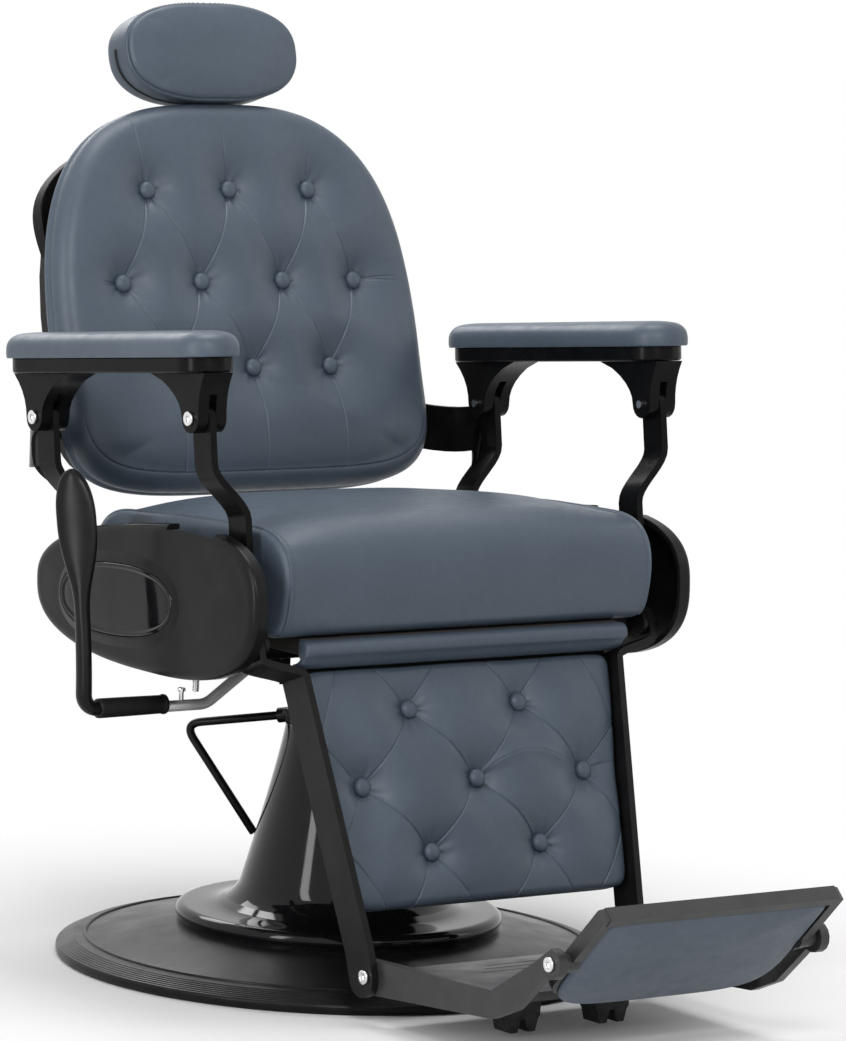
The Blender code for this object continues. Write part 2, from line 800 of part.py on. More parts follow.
def seat_cushion():
    """Thick seat: a full rounded front, a crowned top and flat boxed sides."""
    corners = ((seat_rear - 0.012, seat_bottom, 0.004), (seat_rear, seat_top - 0.004, seat_rear_round),
               (seat_front, seat_top, seat_front_round), (seat_front + seat_front_tuck, seat_bottom, 0.012))
    section = rounded_outline(corners, 9)
    middle = (seat_front + seat_rear) / 2
    rings = []
    for share in (-1, -0.985, -0.95, -0.86, -0.7, -0.4, 0, 0.4, 0.7, 0.86, 0.95, 0.985, 1):
        draw_in = 0.022 * abs(share) ** 14
        ring = []
        for y, z in section:
            level = (z - seat_bottom) / seat_cushion_height
            lift = seat_crown * (1 - share ** 2) * level - draw_in * 3 * level * seat_cushion_height
            ring.append((share * seat_half_width, y - draw_in * (y - middle), z + lift))
        rings.append(ring)
    emit("seat_cushion", loft(rings), LEATHER, "seat", 60)


def apron_roll():
    """Padded strip under the seat front, on the front edge of the seat board."""
    low = (-apron_half_width, apron_front, seat_board_bottom - 0.0008)
    high = (apron_half_width, apron_front + apron_depth, seat_bottom - 0.0012)
    emit("apron_roll", rounded_box(low, high, 0.007, 3), LEATHER, "seat", 60)


def stop_bolt():
    """Stop bolt below the right side plate."""
    place = (plate_inner_x + plate_thickness / 2, stop_bolt_y)
    head = seat_frame_bottom - gap
    tip = head - stop_bolt_drop
    outline = [(0, tip), (stop_bolt_radius, tip), (stop_bolt_radius, head - 0.004),
               (stop_bolt_radius * 1.9, head - 0.004), (stop_bolt_radius * 1.9, head), (0, head)]
    shape = turned(outline, 12)
    shape.transform(Matrix.Translation((-place[0], place[1], 0)))
    emit("stop_bolt", shape, STEEL, "seat")


# Pump lever
def lever_bracket():
    """Fork under the seat frame that carries the pump lever."""
    x, _, z = lever_pivot
    top = seat_frame_bottom - gap
    low = (x - 0.014, -0.016, z - 0.012)
    high = (x + 0.012, 0.016, top)
    bracket = emit("lever_bracket", block(low, high), BLACK, "seat")
    slot = lever_rod_radius + 0.0008
    combine(bracket, block((x - 0.030, -slot, z - 0.020), (x + 0.020, slot, top - 0.006)), "seat")


def lever_rod():
    """Chrome rod, cranked down and out to the sleeve."""
    x, y, z = lever_pivot
    points = rounded_path(((x, y, z), (lever_knee[1], y, z - 0.014), (lever_knee[0], y, lever_low),
                           (lever_sleeve_inner_x - 0.010, y, lever_low)), 0.030, 4)
    rod_piece = emit("lever_rod", tube(points, lever_rod_radius), STEEL, "lever")
    eye = rod((x, y - 0.0155, z), (x, y + 0.0155, z), 0.004, 12)
    bracket_bore = rod((x, y - 0.030, z), (x, y + 0.030, z), 0.004 + pivot_play, 12)
    combine(rod_piece, eye, "lever", "UNION")
    combine(bpy.data.objects["lever_bracket"], bracket_bore, "seat")


def lever_sleeve():
    """Black sleeve clamped over the outer end of the rod."""
    start = Vector((lever_sleeve_inner_x, 0, lever_low + 0.003))
    end = Vector((lever_sleeve_outer_x, 0, lever_low + 0.003))
    sleeve = emit("lever_sleeve", rod(start, end, lever_sleeve_radius), BLACK, "lever")
    bore = rod((lever_sleeve_inner_x + 0.01, 0, lever_low), (lever_sleeve_inner_x - 0.0105, 0, lever_low),
               lever_rod_radius + gap)
    combine(sleeve, bore, "lever")


def lever_grip():
    """Flat paddle on a stem that bends up from the sleeve."""
    foot = lever_low + 0.003
    rings = []
    steps = 12
    def ring(centre, across, along, half_a, half_b):
        points = []
        for i in range(steps):
            turn = 2 * math.pi * i / steps
            points.append(centre + across * half_a * math.cos(turn) + along * half_b * math.sin(turn))
        return points
    start = lever_sleeve_outer_x - gap
    side = Vector((0, 1, 0))
    for share in (0.0, 0.25, 0.5, 0.75, 1.0):
        turn = share * math.pi / 2
        radius = start - grip_x
        centre = Vector((start - radius * math.sin(turn), 0, foot + radius * (1 - math.cos(turn))))
        outward = Vector((math.sin(turn), 0, math.cos(turn)))
        rings.append(ring(centre, side, outward, stem_half_width, 0.0085))
    low = rings[-1][0].z
    for share in (0.15, 0.3, 0.45, 0.55, 0.65, 0.75, 0.85, 0.93, 0.98, 1.0):
        height = low + (grip_top - low) * share
        twist = math.radians(38) * smooth_step((share - 0.2) / 0.4)
        across = Vector((-math.sin(twist), math.cos(twist), 0))
        along = Vector((math.cos(twist), math.sin(twist), 0))
        wide = stem_half_width + (grip_half_width - stem_half_width) * smooth_step((share - 0.35) / 0.4)
        wide *= math.sqrt(max(1 - max((share - 0.8) / 0.21, 0.0) ** 2, 0.03))
        thick = 0.0085 + (grip_half_thickness - 0.0085) * share
        centre = Vector((grip_x, grip_lean * share ** 1.5, height))
        rings.append(ring(centre, across, along, wide, thick))
    emit("lever_grip", loft(rings), BLACK, "lever", 50)


def clamp_screw():
    """Small screw that stands on the rod beside the sleeve."""
    x = lever_sleeve_inner_x + 0.022
    foot = lever_low + lever_rod_radius + gap
    outline = [(0, foot), (clamp_screw_radius, foot), (clamp_screw_radius, foot + clamp_screw_height - 0.004),
               (clamp_screw_radius * 1.7, foot + clamp_screw_height - 0.004),
               (clamp_screw_radius * 1.7, foot + clamp_screw_height), (0, foot + clamp_screw_height)]
    shape = turned(outline, 12)
    shape.transform(Matrix.Translation((x, 0, 0)))
    emit("clamp_screw", shape, STEEL, "lever")


# Back and headrest
def back_point(u, v, w):
    """Map back coordinates, u to the sitter's left, v up the back and w out of its face, to the world."""
    c, s = math.cos(back_recline), math.sin(back_recline)
    return (u, back_face[0] + v * s - w * c, back_face[1] + v * c + w * s)


def back_half_width_at(v, inset=0.0):
    """Half width of the arched back at height v along it."""
    reach, power = (back_rise, back_top_roundness) if v > 0 else (back_drop, back_bottom_roundness)
    share = min(abs(v) / (reach - inset), 1.0)
    return (back_half_width - inset) * max(1 - share ** power, 0.0) ** (1 / power)


def back_outline(inset, steps=22):
    """Closed outline of the back, drawn in by an inset."""
    right = []
    for i in range(steps + 1):
        turn = -math.pi / 2 + math.pi * i / steps
        reach, power = (back_rise, back_top_roundness) if turn > 0 else (back_drop, back_bottom_roundness)
        u = (back_half_width - inset) * abs(math.cos(turn)) ** (2 / power)
        v = (reach - inset) * math.copysign(abs(math.sin(turn)) ** (2 / power), turn)
        right.append((u, v))
    left = [(-u, v) for u, v in right[-2:0:-1]]
    return right + left


def back_cushion():
    """Arched cushion with sewn tufts."""
    depth = back_cushion_depth
    rings = ((0.965, 0.0), (0.992, -0.006), (1.0, -0.014), (0.985, -0.026), (0.945, -depth))
    face = tufted(back_rows, back_crown)
    shape = pad(back_half_width_at, -back_drop, back_rise, face, rings, back_point, 24, 26)
    emit("back_cushion", shape, LEATHER, "back", 60)


def back_board():
    """Plywood board behind the cushion."""
    front = -(back_cushion_depth + gap)
    outline = back_outline(back_shell_inset + back_shell_wall + 0.002)
    emit("back_board", slab(outline, front - back_board_thickness, front, back_point), WOOD, "back")


def back_shell():
    """Black tray behind the board, notched at its top for the headrest post."""
    front = -(back_cushion_depth + gap)
    rear = front - back_board_thickness - back_shell_depth
    shape = slab(back_outline(back_shell_inset), rear, front, back_point)
    shell = emit("back_shell", shape, BLACK, "back", 50)
    soften(shell, 0.010, 1, 60)
    inside = back_outline(back_shell_inset + back_shell_wall + 0.0015)
    combine(shell, slab(inside, rear + back_shell_wall, front + 0.01, back_point), "back")
    low, high = post_levels()
    half = post_width / 2 + 0.0015
    notch = slab(((-half, back_rise - 0.060), (half, back_rise - 0.060), (half, back_rise + 0.02),
                  (-half, back_rise + 0.02)), low - 0.0015, high + 0.0015, back_point)
    combine(shell, notch, "back")
    for offset in (-0.7, 0.7):
        ring = arc((offset * back_half_width * 0.8, 0.06), 0.012, 0, 330, 11)
        stand = slab(ring, rear + back_shell_wall / 2, front - back_board_thickness - gap, back_point)
        combine(shell, stand, "back", "UNION")


def post_levels():
    """Front and rear of the headrest post, out of the face of the back."""
    high = -(back_cushion_depth + back_board_thickness + 2 * gap + guide_wall + pivot_play)
    return high - post_thickness, high


def post_guide():
    """Rectangular guide on the board that the headrest post slides in."""
    low, high = post_levels()
    half = post_width / 2 + pivot_play
    top = back_rise - 0.030
    outer = half + guide_wall
    face = ((-outer, top - guide_length), (outer, top - guide_length), (outer, top), (-outer, top))
    guide = emit("post_guide", slab(face, low - pivot_play - guide_wall, high + pivot_play + guide_wall - gap,
                                    back_point), BLACK, "back")
    below, above = top - guide_length - 0.01, top + 0.01
    bore = ((-half, below), (half, below), (half, above), (-half, above))
    combine(guide, slab(bore, low - pivot_play, high + pivot_play, back_point), "back")


def strip_path(steps=9):
    """Sideways course of an arm strap, from the upper pivot to the lower one."""
    path = [(arm_x, -0.030)]
    for i in range(steps + 1):
        t = i / steps
        x = arm_x + (strap_inner_x - arm_x) * smooth_step(t)
        path.append((x, strap_bend_start + strap_bend_length * t))
    path.append((strap_inner_x, link_length + 0.030))
    return path


def link_point(top, sign):
    """Map strap coordinates, x outward, t down the strap and w across it, to the world."""
    c, s = math.cos(link_lean), math.sin(link_lean)
    def place(x, t, w):
        return (sign * x, top[0] + t * s + w * c, top[1] - t * c + w * s)
    return place


def s_strap(name, top, sign, body, bores):
    """Flat strap with an S bend between two pivots, round at both ends."""
    place = link_point(top, sign)
    outline = bent_strip(strip_path(), strap_thickness)
    half = strap_width / 2
    strap = emit(name, slab(outline, -half, half, place), BLACK, body)
    ends = stadium((0.0, 0.0), (0.0, link_length), half - 0.0005)
    trim = slab(ends, strap_inner_x - 0.03, arm_x + 0.03, lambda u, t, w: place(w, t, u))
    combine(strap, trim, body, "INTERSECT")
    for t, radius in bores:
        hole = rod(place(strap_inner_x - 0.04, t, 0), place(arm_x + 0.04, t, 0), radius)
        combine(strap, hole, body)
    return strap


def back_bracket(side, sign):
    """Cast arm of the back: strap from the hinge to the rear arm pivot, with a web to the shell."""
    bracket = s_strap("back_bracket_" + side, arm_rear_pivot, sign, "back",
                      ((0.0, pin_bore), (link_length, stud_bore)))
    wall = back_half_width - back_shell_inset + gap
    front = -(back_cushion_depth + gap + back_board_thickness * 0.5)
    rear = front - back_shell_depth * 0.75
    high = web_foot_low + web_foot_height
    outside = wall + web_foot_thickness
    outline = ((wall, web_foot_low), (outside, web_foot_low), (outside, high), (wall, high))
    foot = slab(outline, rear, front, lambda u, v, w: back_point(sign * u, v, w))
    combine(bracket, foot, "back", "UNION")
    _, foot_y, _ = back_point(0.0, web_foot_low + web_foot_height / 2, (front + rear) / 2)
    start = Vector((arm_x, arm_rear_pivot[0] + 0.006))
    elbow = Vector((arm_x, foot_y - 0.040))
    end = Vector((wall + web_foot_thickness / 2, foot_y))
    rings = []
    steps = 8
    for i in range(steps + 1):
        t = i / steps
        middle = start * (1 - t) ** 2 + elbow * 2 * t * (1 - t) + end * t ** 2
        along = ((elbow - start) * (1 - t) + (end - elbow) * t).normalized()
        out = Vector((along.y, -along.x)) * web_thickness / 2
        top = arm_rear_pivot[1] - 0.002 - 0.008 * math.sin(math.pi * t)
        ring = []
        for share, level in ((1, top - web_height), (1, top), (-1, top), (-1, top - web_height)):
            point = middle + out * share
            ring.append((sign * point.x, point.y, level))
        rings.append(ring)
    combine(bracket, loft(rings), "back", "UNION")


def back_handle(side, sign):
    """Wing shaped grab handle on the side wall of the shell."""
    front = -(back_cushion_depth + gap + 0.010)
    inner, outer = [], []
    steps = 14
    for i in range(steps + 1):
        t = i / steps
        v = handle_low + (handle_high - handle_low) * t
        edge = back_half_width_at(v, back_shell_inset) + gap * 3
        bump = handle_reach * math.sin(math.pi * t ** 1.25) ** 0.8 + 0.002
        inner.append((edge, v))
        outer.append((edge + bump, v + 0.012 * t))
    outline = inner + outer[::-1]
    handle = emit("back_handle_" + side, slab(outline, front - handle_thickness, front,
                                              lambda u, v, w: back_point(sign * u, v, w)), BLACK, "back", 50)
    soften(handle, 0.0015, 1, 50)


def headrest_cushion():
    """Oval pillow above the back."""
    def half_width_at(v):
        share = min(abs(v - headrest_centre) / headrest_half_height, 1.0)
        return headrest_half_width * max(1 - share ** headrest_roundness, 0.0) ** (1 / headrest_roundness)
    def face(u, v, edge):
        return headrest_crown * edge - 0.006 * (1 - edge)
    depth = headrest_depth
    rings = ((0.93, 0.0), (0.985, -0.012), (1.0, -0.022), (1.0, -depth * 0.7), (0.95, -depth))
    shape = pad(half_width_at, headrest_centre - headrest_half_height, headrest_centre + headrest_half_height,
                face, rings, back_point, 16, 10)
    emit("headrest_cushion", shape, LEATHER, "headrest", 60)


def headrest_post():
    """Flat post that slides in the guide and carries the pillow on its upper end."""
    low, high = post_levels()
    half = post_width / 2
    top = headrest_centre + 0.020
    bottom = top - post_length
    face = ((-half, bottom), (half, bottom), (half, top), (-half, top))
    post = emit("headrest_post", slab(face, low, high, back_point), STEEL, "headrest")
    shoe = ((-0.040, headrest_centre - 0.025), (0.040, headrest_centre - 0.025),
            (0.040, headrest_centre + 0.030), (-0.040, headrest_centre + 0.030))
    combine(post, slab(shoe, low + 0.001, -(headrest_depth + gap), back_point), "headrest", "UNION")


# Arms
def arm_point(sign):
    """Map arm coordinates, u forward from the middle of the pivots, w up from their line, to the world."""
    middle = ((arm_front_pivot[0] + arm_rear_pivot[0]) / 2, (arm_front_pivot[1] + arm_rear_pivot[1]) / 2)
    c, s = math.cos(arm_tilt), math.sin(arm_tilt)
    def place(u, across, w):
        return (sign * (arm_x + across), middle[0] - u * c + w * s, middle[1] + u * s + w * c)
    return place


def arm_plate(side, sign):
    """Round ended plate under the arm pad."""
    place = arm_point(sign)
    reach = arm_plate_length / 2 - arm_plate_width / 2
    outline = stadium((arm_pad_shift - reach, 0), (arm_pad_shift + reach, 0), arm_plate_width / 2)
    shape = slab(outline, arm_plate_lift, arm_plate_lift + arm_plate_thickness, place)
    plate = emit("arm_plate_" + side, shape, BLACK, "arm_" + side)
    soften(plate, 0.0025, 2, 60)


def arm_pad(side, sign):
    """Crowned pad with round ends."""
    place = arm_point(sign)
    floor = arm_plate_lift + arm_plate_thickness + gap
    half = arm_pad_width / 2
    rings = []
    for inset, share in ((0.004, 0.0), (0.0, 0.16), (0.0, 0.45), (0.003, 0.68), (0.009, 0.88), (0.018, 1.0)):
        reach = arm_pad_length / 2 - half
        outline = stadium((arm_pad_shift - reach, 0), (arm_pad_shift + reach, 0), half - inset, 9)
        rings.append([place(u, v, floor + arm_pad_thickness * share) for u, v in outline])
    emit("arm_pad_" + side, loft(rings), LEATHER, "arm_" + side, 60)


def fork(side, sign, name, centre, facing, flare_outer):
    """Cast bracket under the arm plate that flares upward and ends in two ears round a slot."""
    place = arm_point(sign)
    top = arm_plate_lift - gap
    ear = fork_ear_radius
    flare = []
    for i in range(7):
        t = i / 6
        draw_in = math.sin(t * math.pi / 2) ** 0.7
        flare.append((fork_flare_inner - (fork_flare_inner - ear) * draw_in, top * (1 - t)))
    outer = []
    for i in range(6):
        t = i / 5
        outer.append((-(ear + (flare_outer - ear) * (t ** 2.2)), top * t))
    outline = flare + arc((0, 0), ear, 0, -180, 10)[1:-1] + outer
    outline = [(centre + facing * u, w) for u, w in outline]
    half = fork_width / 2
    body = "arm_" + side
    shape = slab(outline, -half, half, lambda u, w, a: place(u, a, w))
    made = emit(name + "_" + side, shape, BLACK, body, 40)
    slot = strap_thickness / 2 + 0.0006
    cut = slab(((centre - 0.12, -0.05), (centre + 0.12, -0.05), (centre + 0.12, fork_slot_height),
                (centre - 0.12, fork_slot_height)), -slot, slot, lambda u, w, a: place(u, a, w))
    combine(made, cut, body)
    hole = rod(place(centre, -0.05, 0), place(centre, 0.05, 0), pin_radius + gap)
    combine(made, hole, body)
    pin = rod(place(centre, -half - 0.0005, 0), place(centre, half + pin_head_height, 0), pin_radius)
    pin_piece = emit(name.replace("fork", "pin") + "_" + side, pin, STEEL, body)
    for sense in (-1, 1):
        head = rod(place(centre, sense * (half + gap), 0), place(centre, sense * (half + pin_head_height), 0),
                   pin_head_radius)
        combine(pin_piece, head, body, "UNION")


# Legrest
def leg_point(u, t, n):
    """Map legrest coordinates, u across, t down the bars from their pivot, n forward, to the world."""
    c, s = math.cos(legrest_tilt), math.sin(legrest_tilt)
    return (u, legrest_pivot[0] - t * s - n * c, legrest_pivot[1] - t * c + n * s)


def legrest_half_width_at(t):
    """Half width of the tapered legrest pad."""
    share = (t - legrest_top) / legrest_length
    return legrest_top_half_width + (legrest_bottom_half_width - legrest_top_half_width) * share


def bar_x(t):
    """Middle of a legrest bar beside the pad, straight near its foot."""
    return legrest_half_width_at(min(t, bar_length - bar_straight)) + bar_side_gap + bar_thickness / 2


def bar_path(steps=7):
    """Sideways course of a legrest bar: out at the pivot, cranked in beside the pad, then straight."""
    crank_end = bar_crank_start + bar_crank_length
    path = [(bar_top_x, -bar_top - 0.02)]
    for i in range(steps + 1):
        t = i / steps
        path.append((bar_top_x + (bar_x(crank_end) - bar_top_x) * smooth_step(t),
                     bar_crank_start + bar_crank_length * t))
    path.append((bar_x(bar_length), bar_length - bar_straight))
    path.append((bar_x(bar_length), bar_length + bar_width))
    return path


def legrest_bar(side, sign):
    """Flat bar with a cranked top, hung on the side plate."""
    half = bar_width / 2
    middle = -bar_setback
    outline = bent_strip(bar_path(), bar_thickness)
    bar = emit("legrest_bar_" + side, slab(outline, middle - half, middle + half,
                                           lambda x, t, n: leg_point(sign * x, t, n)), BLACK, "legrest")
    ends = stadium((middle, half - bar_top), (middle, bar_length), half - 0.0004)
    trim = slab(ends, 0.10, 0.35, lambda n, t, x: leg_point(sign * x, t, n))
    combine(bar, trim, "legrest", "INTERSECT")
    for t, radius in ((0.0, stud_bore), (bar_length, pin_bore)):
        hole = rod(leg_point(sign * 0.10, t, 0), leg_point(sign * 0.35, t, 0), radius)
        combine(bar, hole, "legrest")


def legrest_cushion():
    """Tapered pad with sewn tufts."""
    def place(u, v, w):
        return leg_point(u, legrest_top + legrest_length - v, legrest_face + w)
    def half_width_at(v):
        return legrest_half_width_at(legrest_top + legrest_length - v)
    rows = tuple((legrest_length - row, places) for row, places in legrest_rows)
    rings = ((0.965, -0.003), (0.992, -0.009), (1.0, -0.015), (0.985, -legrest_depth))
    shape = pad(half_width_at, 0.0, legrest_length, tufted(rows, legrest_crown), rings, place, 22, 18)
    emit("legrest_cushion", shape, LEATHER, "legrest", 60)


def legrest_board():
    """Board behind the pad, screwed between the bars."""
    front = legrest_face - legrest_depth - gap
    low = legrest_top + 0.030
    high = legrest_top + legrest_length - 0.012
    def reach(t):
        return bar_x(t) - bar_thickness / 2 - gap
    outline = ((-reach(low), low), (reach(low), low), (reach(high), high), (-reach(high), high))
    emit("legrest_board", slab(outline, front - legrest_board_thickness, front, leg_point), BLACK, "legrest")


# Footplate and flip footrest
def footplate_wall_x():
    """Inner and outer x of the footplate side walls."""
    outer = bar_x(bar_length) - bar_thickness / 2 - pivot_play
    return outer - footplate_wall, outer


def footplate():
    """Cast plate between two side walls that carry the rear screws and the front hinge."""
    rear, front = footplate_rear_pivot, footplate_front_pivot
    inner, outer = footplate_wall_x()
    run = rear[0] - front[0]
    def along(share, lift):
        return (rear[0] - run * share, rear[1] + (front[1] - rear[1]) * share + lift)
    wall = ([along(0.69, -0.0556), along(0.82, -0.0473)]
            + arc(front, footplate_front_boss, 300, 90, 8)
            + [along(0.90, 0.002), along(0.68, -0.024), along(0.10, 0.012)]
            + arc(rear, footplate_rear_boss, 60, -100, 8))
    def place(sign):
        return lambda u, v, w: (sign * w, u, v)
    plate_top = [along(deck_rear, deck_rear_lift), along(deck_front, deck_front_lift)]
    plate_low = [(y, z - footplate_thickness) for y, z in plate_top]
    deck = emit("footplate", slab(plate_top + plate_low[::-1], -inner - 0.002, inner + 0.002,
                                  lambda u, v, w: (w, u, v)), GREY, "footplate", 30)
    for sign in (-1, 1):
        combine(deck, slab(wall, inner, outer, place(sign)), "footplate", "UNION")
        for pivot in (rear, front):
            hole = cross_rod(sign * (inner - 0.02), sign * (outer + 0.02), pivot, pin_radius + gap)
            combine(deck, hole, "footplate")
    first = 0.16
    for i in range(footplate_grooves):
        y, z = along(first + i * groove_pitch / run * 0.9, 0)
        share = (rear[0] - y) / run
        slope = (plate_top[1][1] - plate_top[0][1]) / (deck_front - deck_rear)
        top = plate_top[0][1] + slope * (share - deck_rear)
        reach = 0.065 + 0.018 * (i % 3)
        low = (-reach, y - groove_width / 2, top - groove_depth)
        high = (reach, y + groove_width / 2, top + 0.02)
        combine(deck, block(low, high), "footplate")


def rubber_foot(side, sign):
    """Two lobed rubber foot under the footplate."""
    rear, front = footplate_rear_pivot, footplate_front_pivot
    run = rear[0] - front[0]
    rise = front[1] - rear[1]
    def under(y):
        part = ((rear[0] - y) / run - deck_rear) / (deck_front - deck_rear)
        low = rear[1] + rise * deck_rear + deck_rear_lift
        high = rear[1] + rise * deck_front + deck_front_lift
        return low + (high - low) * part - footplate_thickness - gap
    lobe = foot_width / 4 - 0.003
    floor = foot_floor_gap
    middle = sign * foot_spacing / 2
    outline = [(-foot_width / 2, 1), (-foot_width / 2, 0.022)]
    for offset in (-foot_width / 4, foot_width / 4):
        outline += [(offset - lobe, floor + 0.014), (offset - lobe * 0.6, floor),
                    (offset + lobe * 0.6, floor), (offset + lobe, floor + 0.014)]
    outline += [(foot_width / 2, 0.022), (foot_width / 2, 1)]
    shape = bmesh.new()
    near, far = foot_y - foot_length / 2, foot_y + foot_length / 2
    ends = []
    for y in (near, far):
        ends.append([shape.verts.new((middle + u, y, min(v, under(y)))) for u, v in outline])
    shape.faces.new(ends[0])
    shape.faces.new(ends[1])
    for i in range(len(outline)):
        j = (i + 1) % len(outline)
        shape.faces.new((ends[0][i], ends[0][j], ends[1][j], ends[1][i]))
    emit("rubber_foot_" + side, shape, RUBBER, "footplate", 30)


def headed_pin(name, pivot, inner_x, outer_x, sign, body):
    """Pivot screw along X with its head on the outer side."""
    shank = cross_rod(sign * inner_x, sign * (outer_x + pin_head_height), pivot, pin_radius)
    pin = emit(name, shank, STEEL, body)
    head = cross_rod(sign * (outer_x + gap), sign * (outer_x + pin_head_height), pivot, pin_head_radius)
    combine(pin, head, body, "UNION")


def panel_point(u, v, w):
    """Map flip footrest coordinates, u across, v up from the hinge, w out of the pad, to the world."""
    c, s = math.cos(panel_tilt), math.sin(panel_tilt)
    y, z = footplate_front_pivot
    return (u, y - v * s - w * c, z + v * c - w * s)


def panel_outline(inset):
    """Footrest outline with a bowed lower edge and round lower corners."""
    half = panel_half_width - inset
    low = -panel_below + inset
    high = panel_above - inset
    lower = arc((half - panel_corner, low + panel_bow + panel_corner), panel_corner, 0, -76, 5)
    for share in (0.75, 0.5, 0.25):
        lower.append(((half - panel_corner) * share, low + panel_bow * share ** 2))
    return ([(half, high)] + lower + [(0, low)] + [(-u, v) for u, v in lower[::-1]] + [(-half, high)])


def footrest_tray():
    """Metal tray of the flip footrest, with a trim lip at its top and a knuckle at each end."""
    front = -tray_back + tray_thickness
    tray = emit("footrest_tray", slab(panel_outline(0.0), -tray_back, front, panel_point), GREY, "panel", 30)
    half = panel_half_width
    below = panel_above - panel_trim_height
    edge = ((-half, below), (half, below), (half, panel_above), (-half, panel_above))
    lip = slab(edge, -tray_back, front + panel_pad_thickness, panel_point)
    combine(tray, lip, "panel", "UNION")
    inner, _ = footplate_wall_x()
    for sign in (-1, 1):
        root, tip = half - knuckle_overlap, inner - 0.0006
        knuckle = cross_rod(sign * root, sign * tip, footplate_front_pivot, knuckle_radius)
        combine(tray, knuckle, "panel", "UNION")
        arm = slab(((half - 0.006, -0.012), (half + 0.007, -0.010), (half + 0.007, panel_above - 0.004),
                    (half - 0.006, panel_above)), -tray_back, front + 0.006,
                   lambda u, v, w: panel_point(sign * u, v, w))
        combine(tray, arm, "panel", "UNION")
        hole = cross_rod(sign * (root + 0.001), sign * (inner + 0.02), footplate_front_pivot, pin_bore)
        combine(tray, hole, "panel")


def footrest_pad():
    """Padded face of the flip footrest."""
    floor = -tray_back + tray_thickness + gap
    low = -panel_below + 0.012
    high = panel_above - panel_trim_height - gap
    def half_width_at(v):
        share = max((low + 0.045 - v) / 0.045, 0.0)
        return panel_half_width - 0.0065 - gap - 0.045 * share ** 2
    def face(u, v, edge):
        return floor + panel_pad_thickness * 0.7 + panel_crown * edge
    rings = ((0.975, 0.0), (1.0, floor + panel_pad_thickness * 0.35), (0.995, floor))
    shape = pad(half_width_at, low, high, face, rings, panel_point, 16, 10)
    emit("footrest_pad", shape, LEATHER, "panel", 60)


def build():
    """Make every piece."""
    base_plate()
    column_skirt()
    pump_cylinder()
    column_collar()
    swivel_lock_bar()
    lift_ram()
    swivel_hub()
    seat_frame()
    seat_board()
    seat_cushion()
    apron_roll()
    stop_bolt()
    lever_bracket()
    lever_rod()
    lever_sleeve()
    lever_grip()
    clamp_screw()
    back_cushion()
    back_board()
    back_shell()
    post_guide()
    headrest_cushion()
    headrest_post()
    legrest_cushion()
    legrest_board()
    footplate()
    footrest_tray()
    footrest_pad()
    inner, outer = footplate_wall_x()
    bar_outer = bar_x(bar_length) + bar_thickness / 2
    for side, sign in SIDES:
        side_plate(side, sign)
        side_cover(side, sign)
        cover_badge(side, sign)
        s_strap("arm_strap_" + side, arm_front_pivot, sign, "strap_" + side,
                ((0.0, pin_bore), (link_length, stud_bore)))
        back_bracket(side, sign)
        back_handle(side, sign)
        arm_plate(side, sign)
        arm_pad(side, sign)
        fork(side, sign, "front_fork", arm_pivot_spacing / 2, -1.0, fork_flare_front)
        fork(side, sign, "rear_fork", -arm_pivot_spacing / 2, 1.0, fork_flare_rear)
        legrest_bar(side, sign)
        rubber_foot(side, sign)
        headed_pin("footplate_screw_" + side, footplate_rear_pivot, inner - 0.001, bar_outer, sign,
                   "footplate")
        pin_root = panel_half_width - knuckle_overlap + 0.002
        headed_pin("hinge_pin_" + side, footplate_front_pivot, pin_root, outer, sign, "panel")


build()
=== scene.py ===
import json
import math
from contextlib import contextmanager

import bmesh
import bpy
import numpy as np
from mathutils import Matrix, Vector
from mathutils.bvhtree import BVHTree


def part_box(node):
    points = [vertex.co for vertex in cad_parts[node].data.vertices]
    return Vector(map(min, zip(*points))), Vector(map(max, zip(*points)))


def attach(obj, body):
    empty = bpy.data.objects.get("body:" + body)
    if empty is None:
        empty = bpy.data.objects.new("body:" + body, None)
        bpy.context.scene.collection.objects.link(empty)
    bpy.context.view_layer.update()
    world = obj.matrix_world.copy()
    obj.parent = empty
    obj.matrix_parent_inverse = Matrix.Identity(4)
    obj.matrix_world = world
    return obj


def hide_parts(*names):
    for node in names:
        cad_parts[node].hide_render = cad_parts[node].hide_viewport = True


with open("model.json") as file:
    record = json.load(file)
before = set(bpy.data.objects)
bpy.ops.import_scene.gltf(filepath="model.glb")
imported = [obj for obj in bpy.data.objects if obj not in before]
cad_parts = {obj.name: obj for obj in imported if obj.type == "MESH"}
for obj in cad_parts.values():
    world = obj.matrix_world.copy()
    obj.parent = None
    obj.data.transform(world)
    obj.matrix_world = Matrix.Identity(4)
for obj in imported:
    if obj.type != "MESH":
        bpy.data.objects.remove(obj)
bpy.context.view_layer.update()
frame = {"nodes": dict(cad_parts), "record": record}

nodes = frame["nodes"]
node_body = {n: b for b, members in frame["record"]["behaviour"]["bodies"].items() for n in members}
node_slot = {row["node"]: row["material_slot"] for row in frame["record"]["subparts"]}
SIDES = (("left", 1.0), ("right", -1.0))
HERE = Matrix.Identity(4)
replaced = set()

# Camera, fitted to the photograph
photo_size = (846, 1041)
focal_pixels = 5626.47
principal_point = (411.673, 520.654)
camera_place = Vector((-3.75926, -5.29713, 1.29389))
camera_azimuth = math.radians(-35.956)
camera_pitch = math.radians(6.7953)
camera_roll = math.radians(2.2927)
sensor_width = 36.0

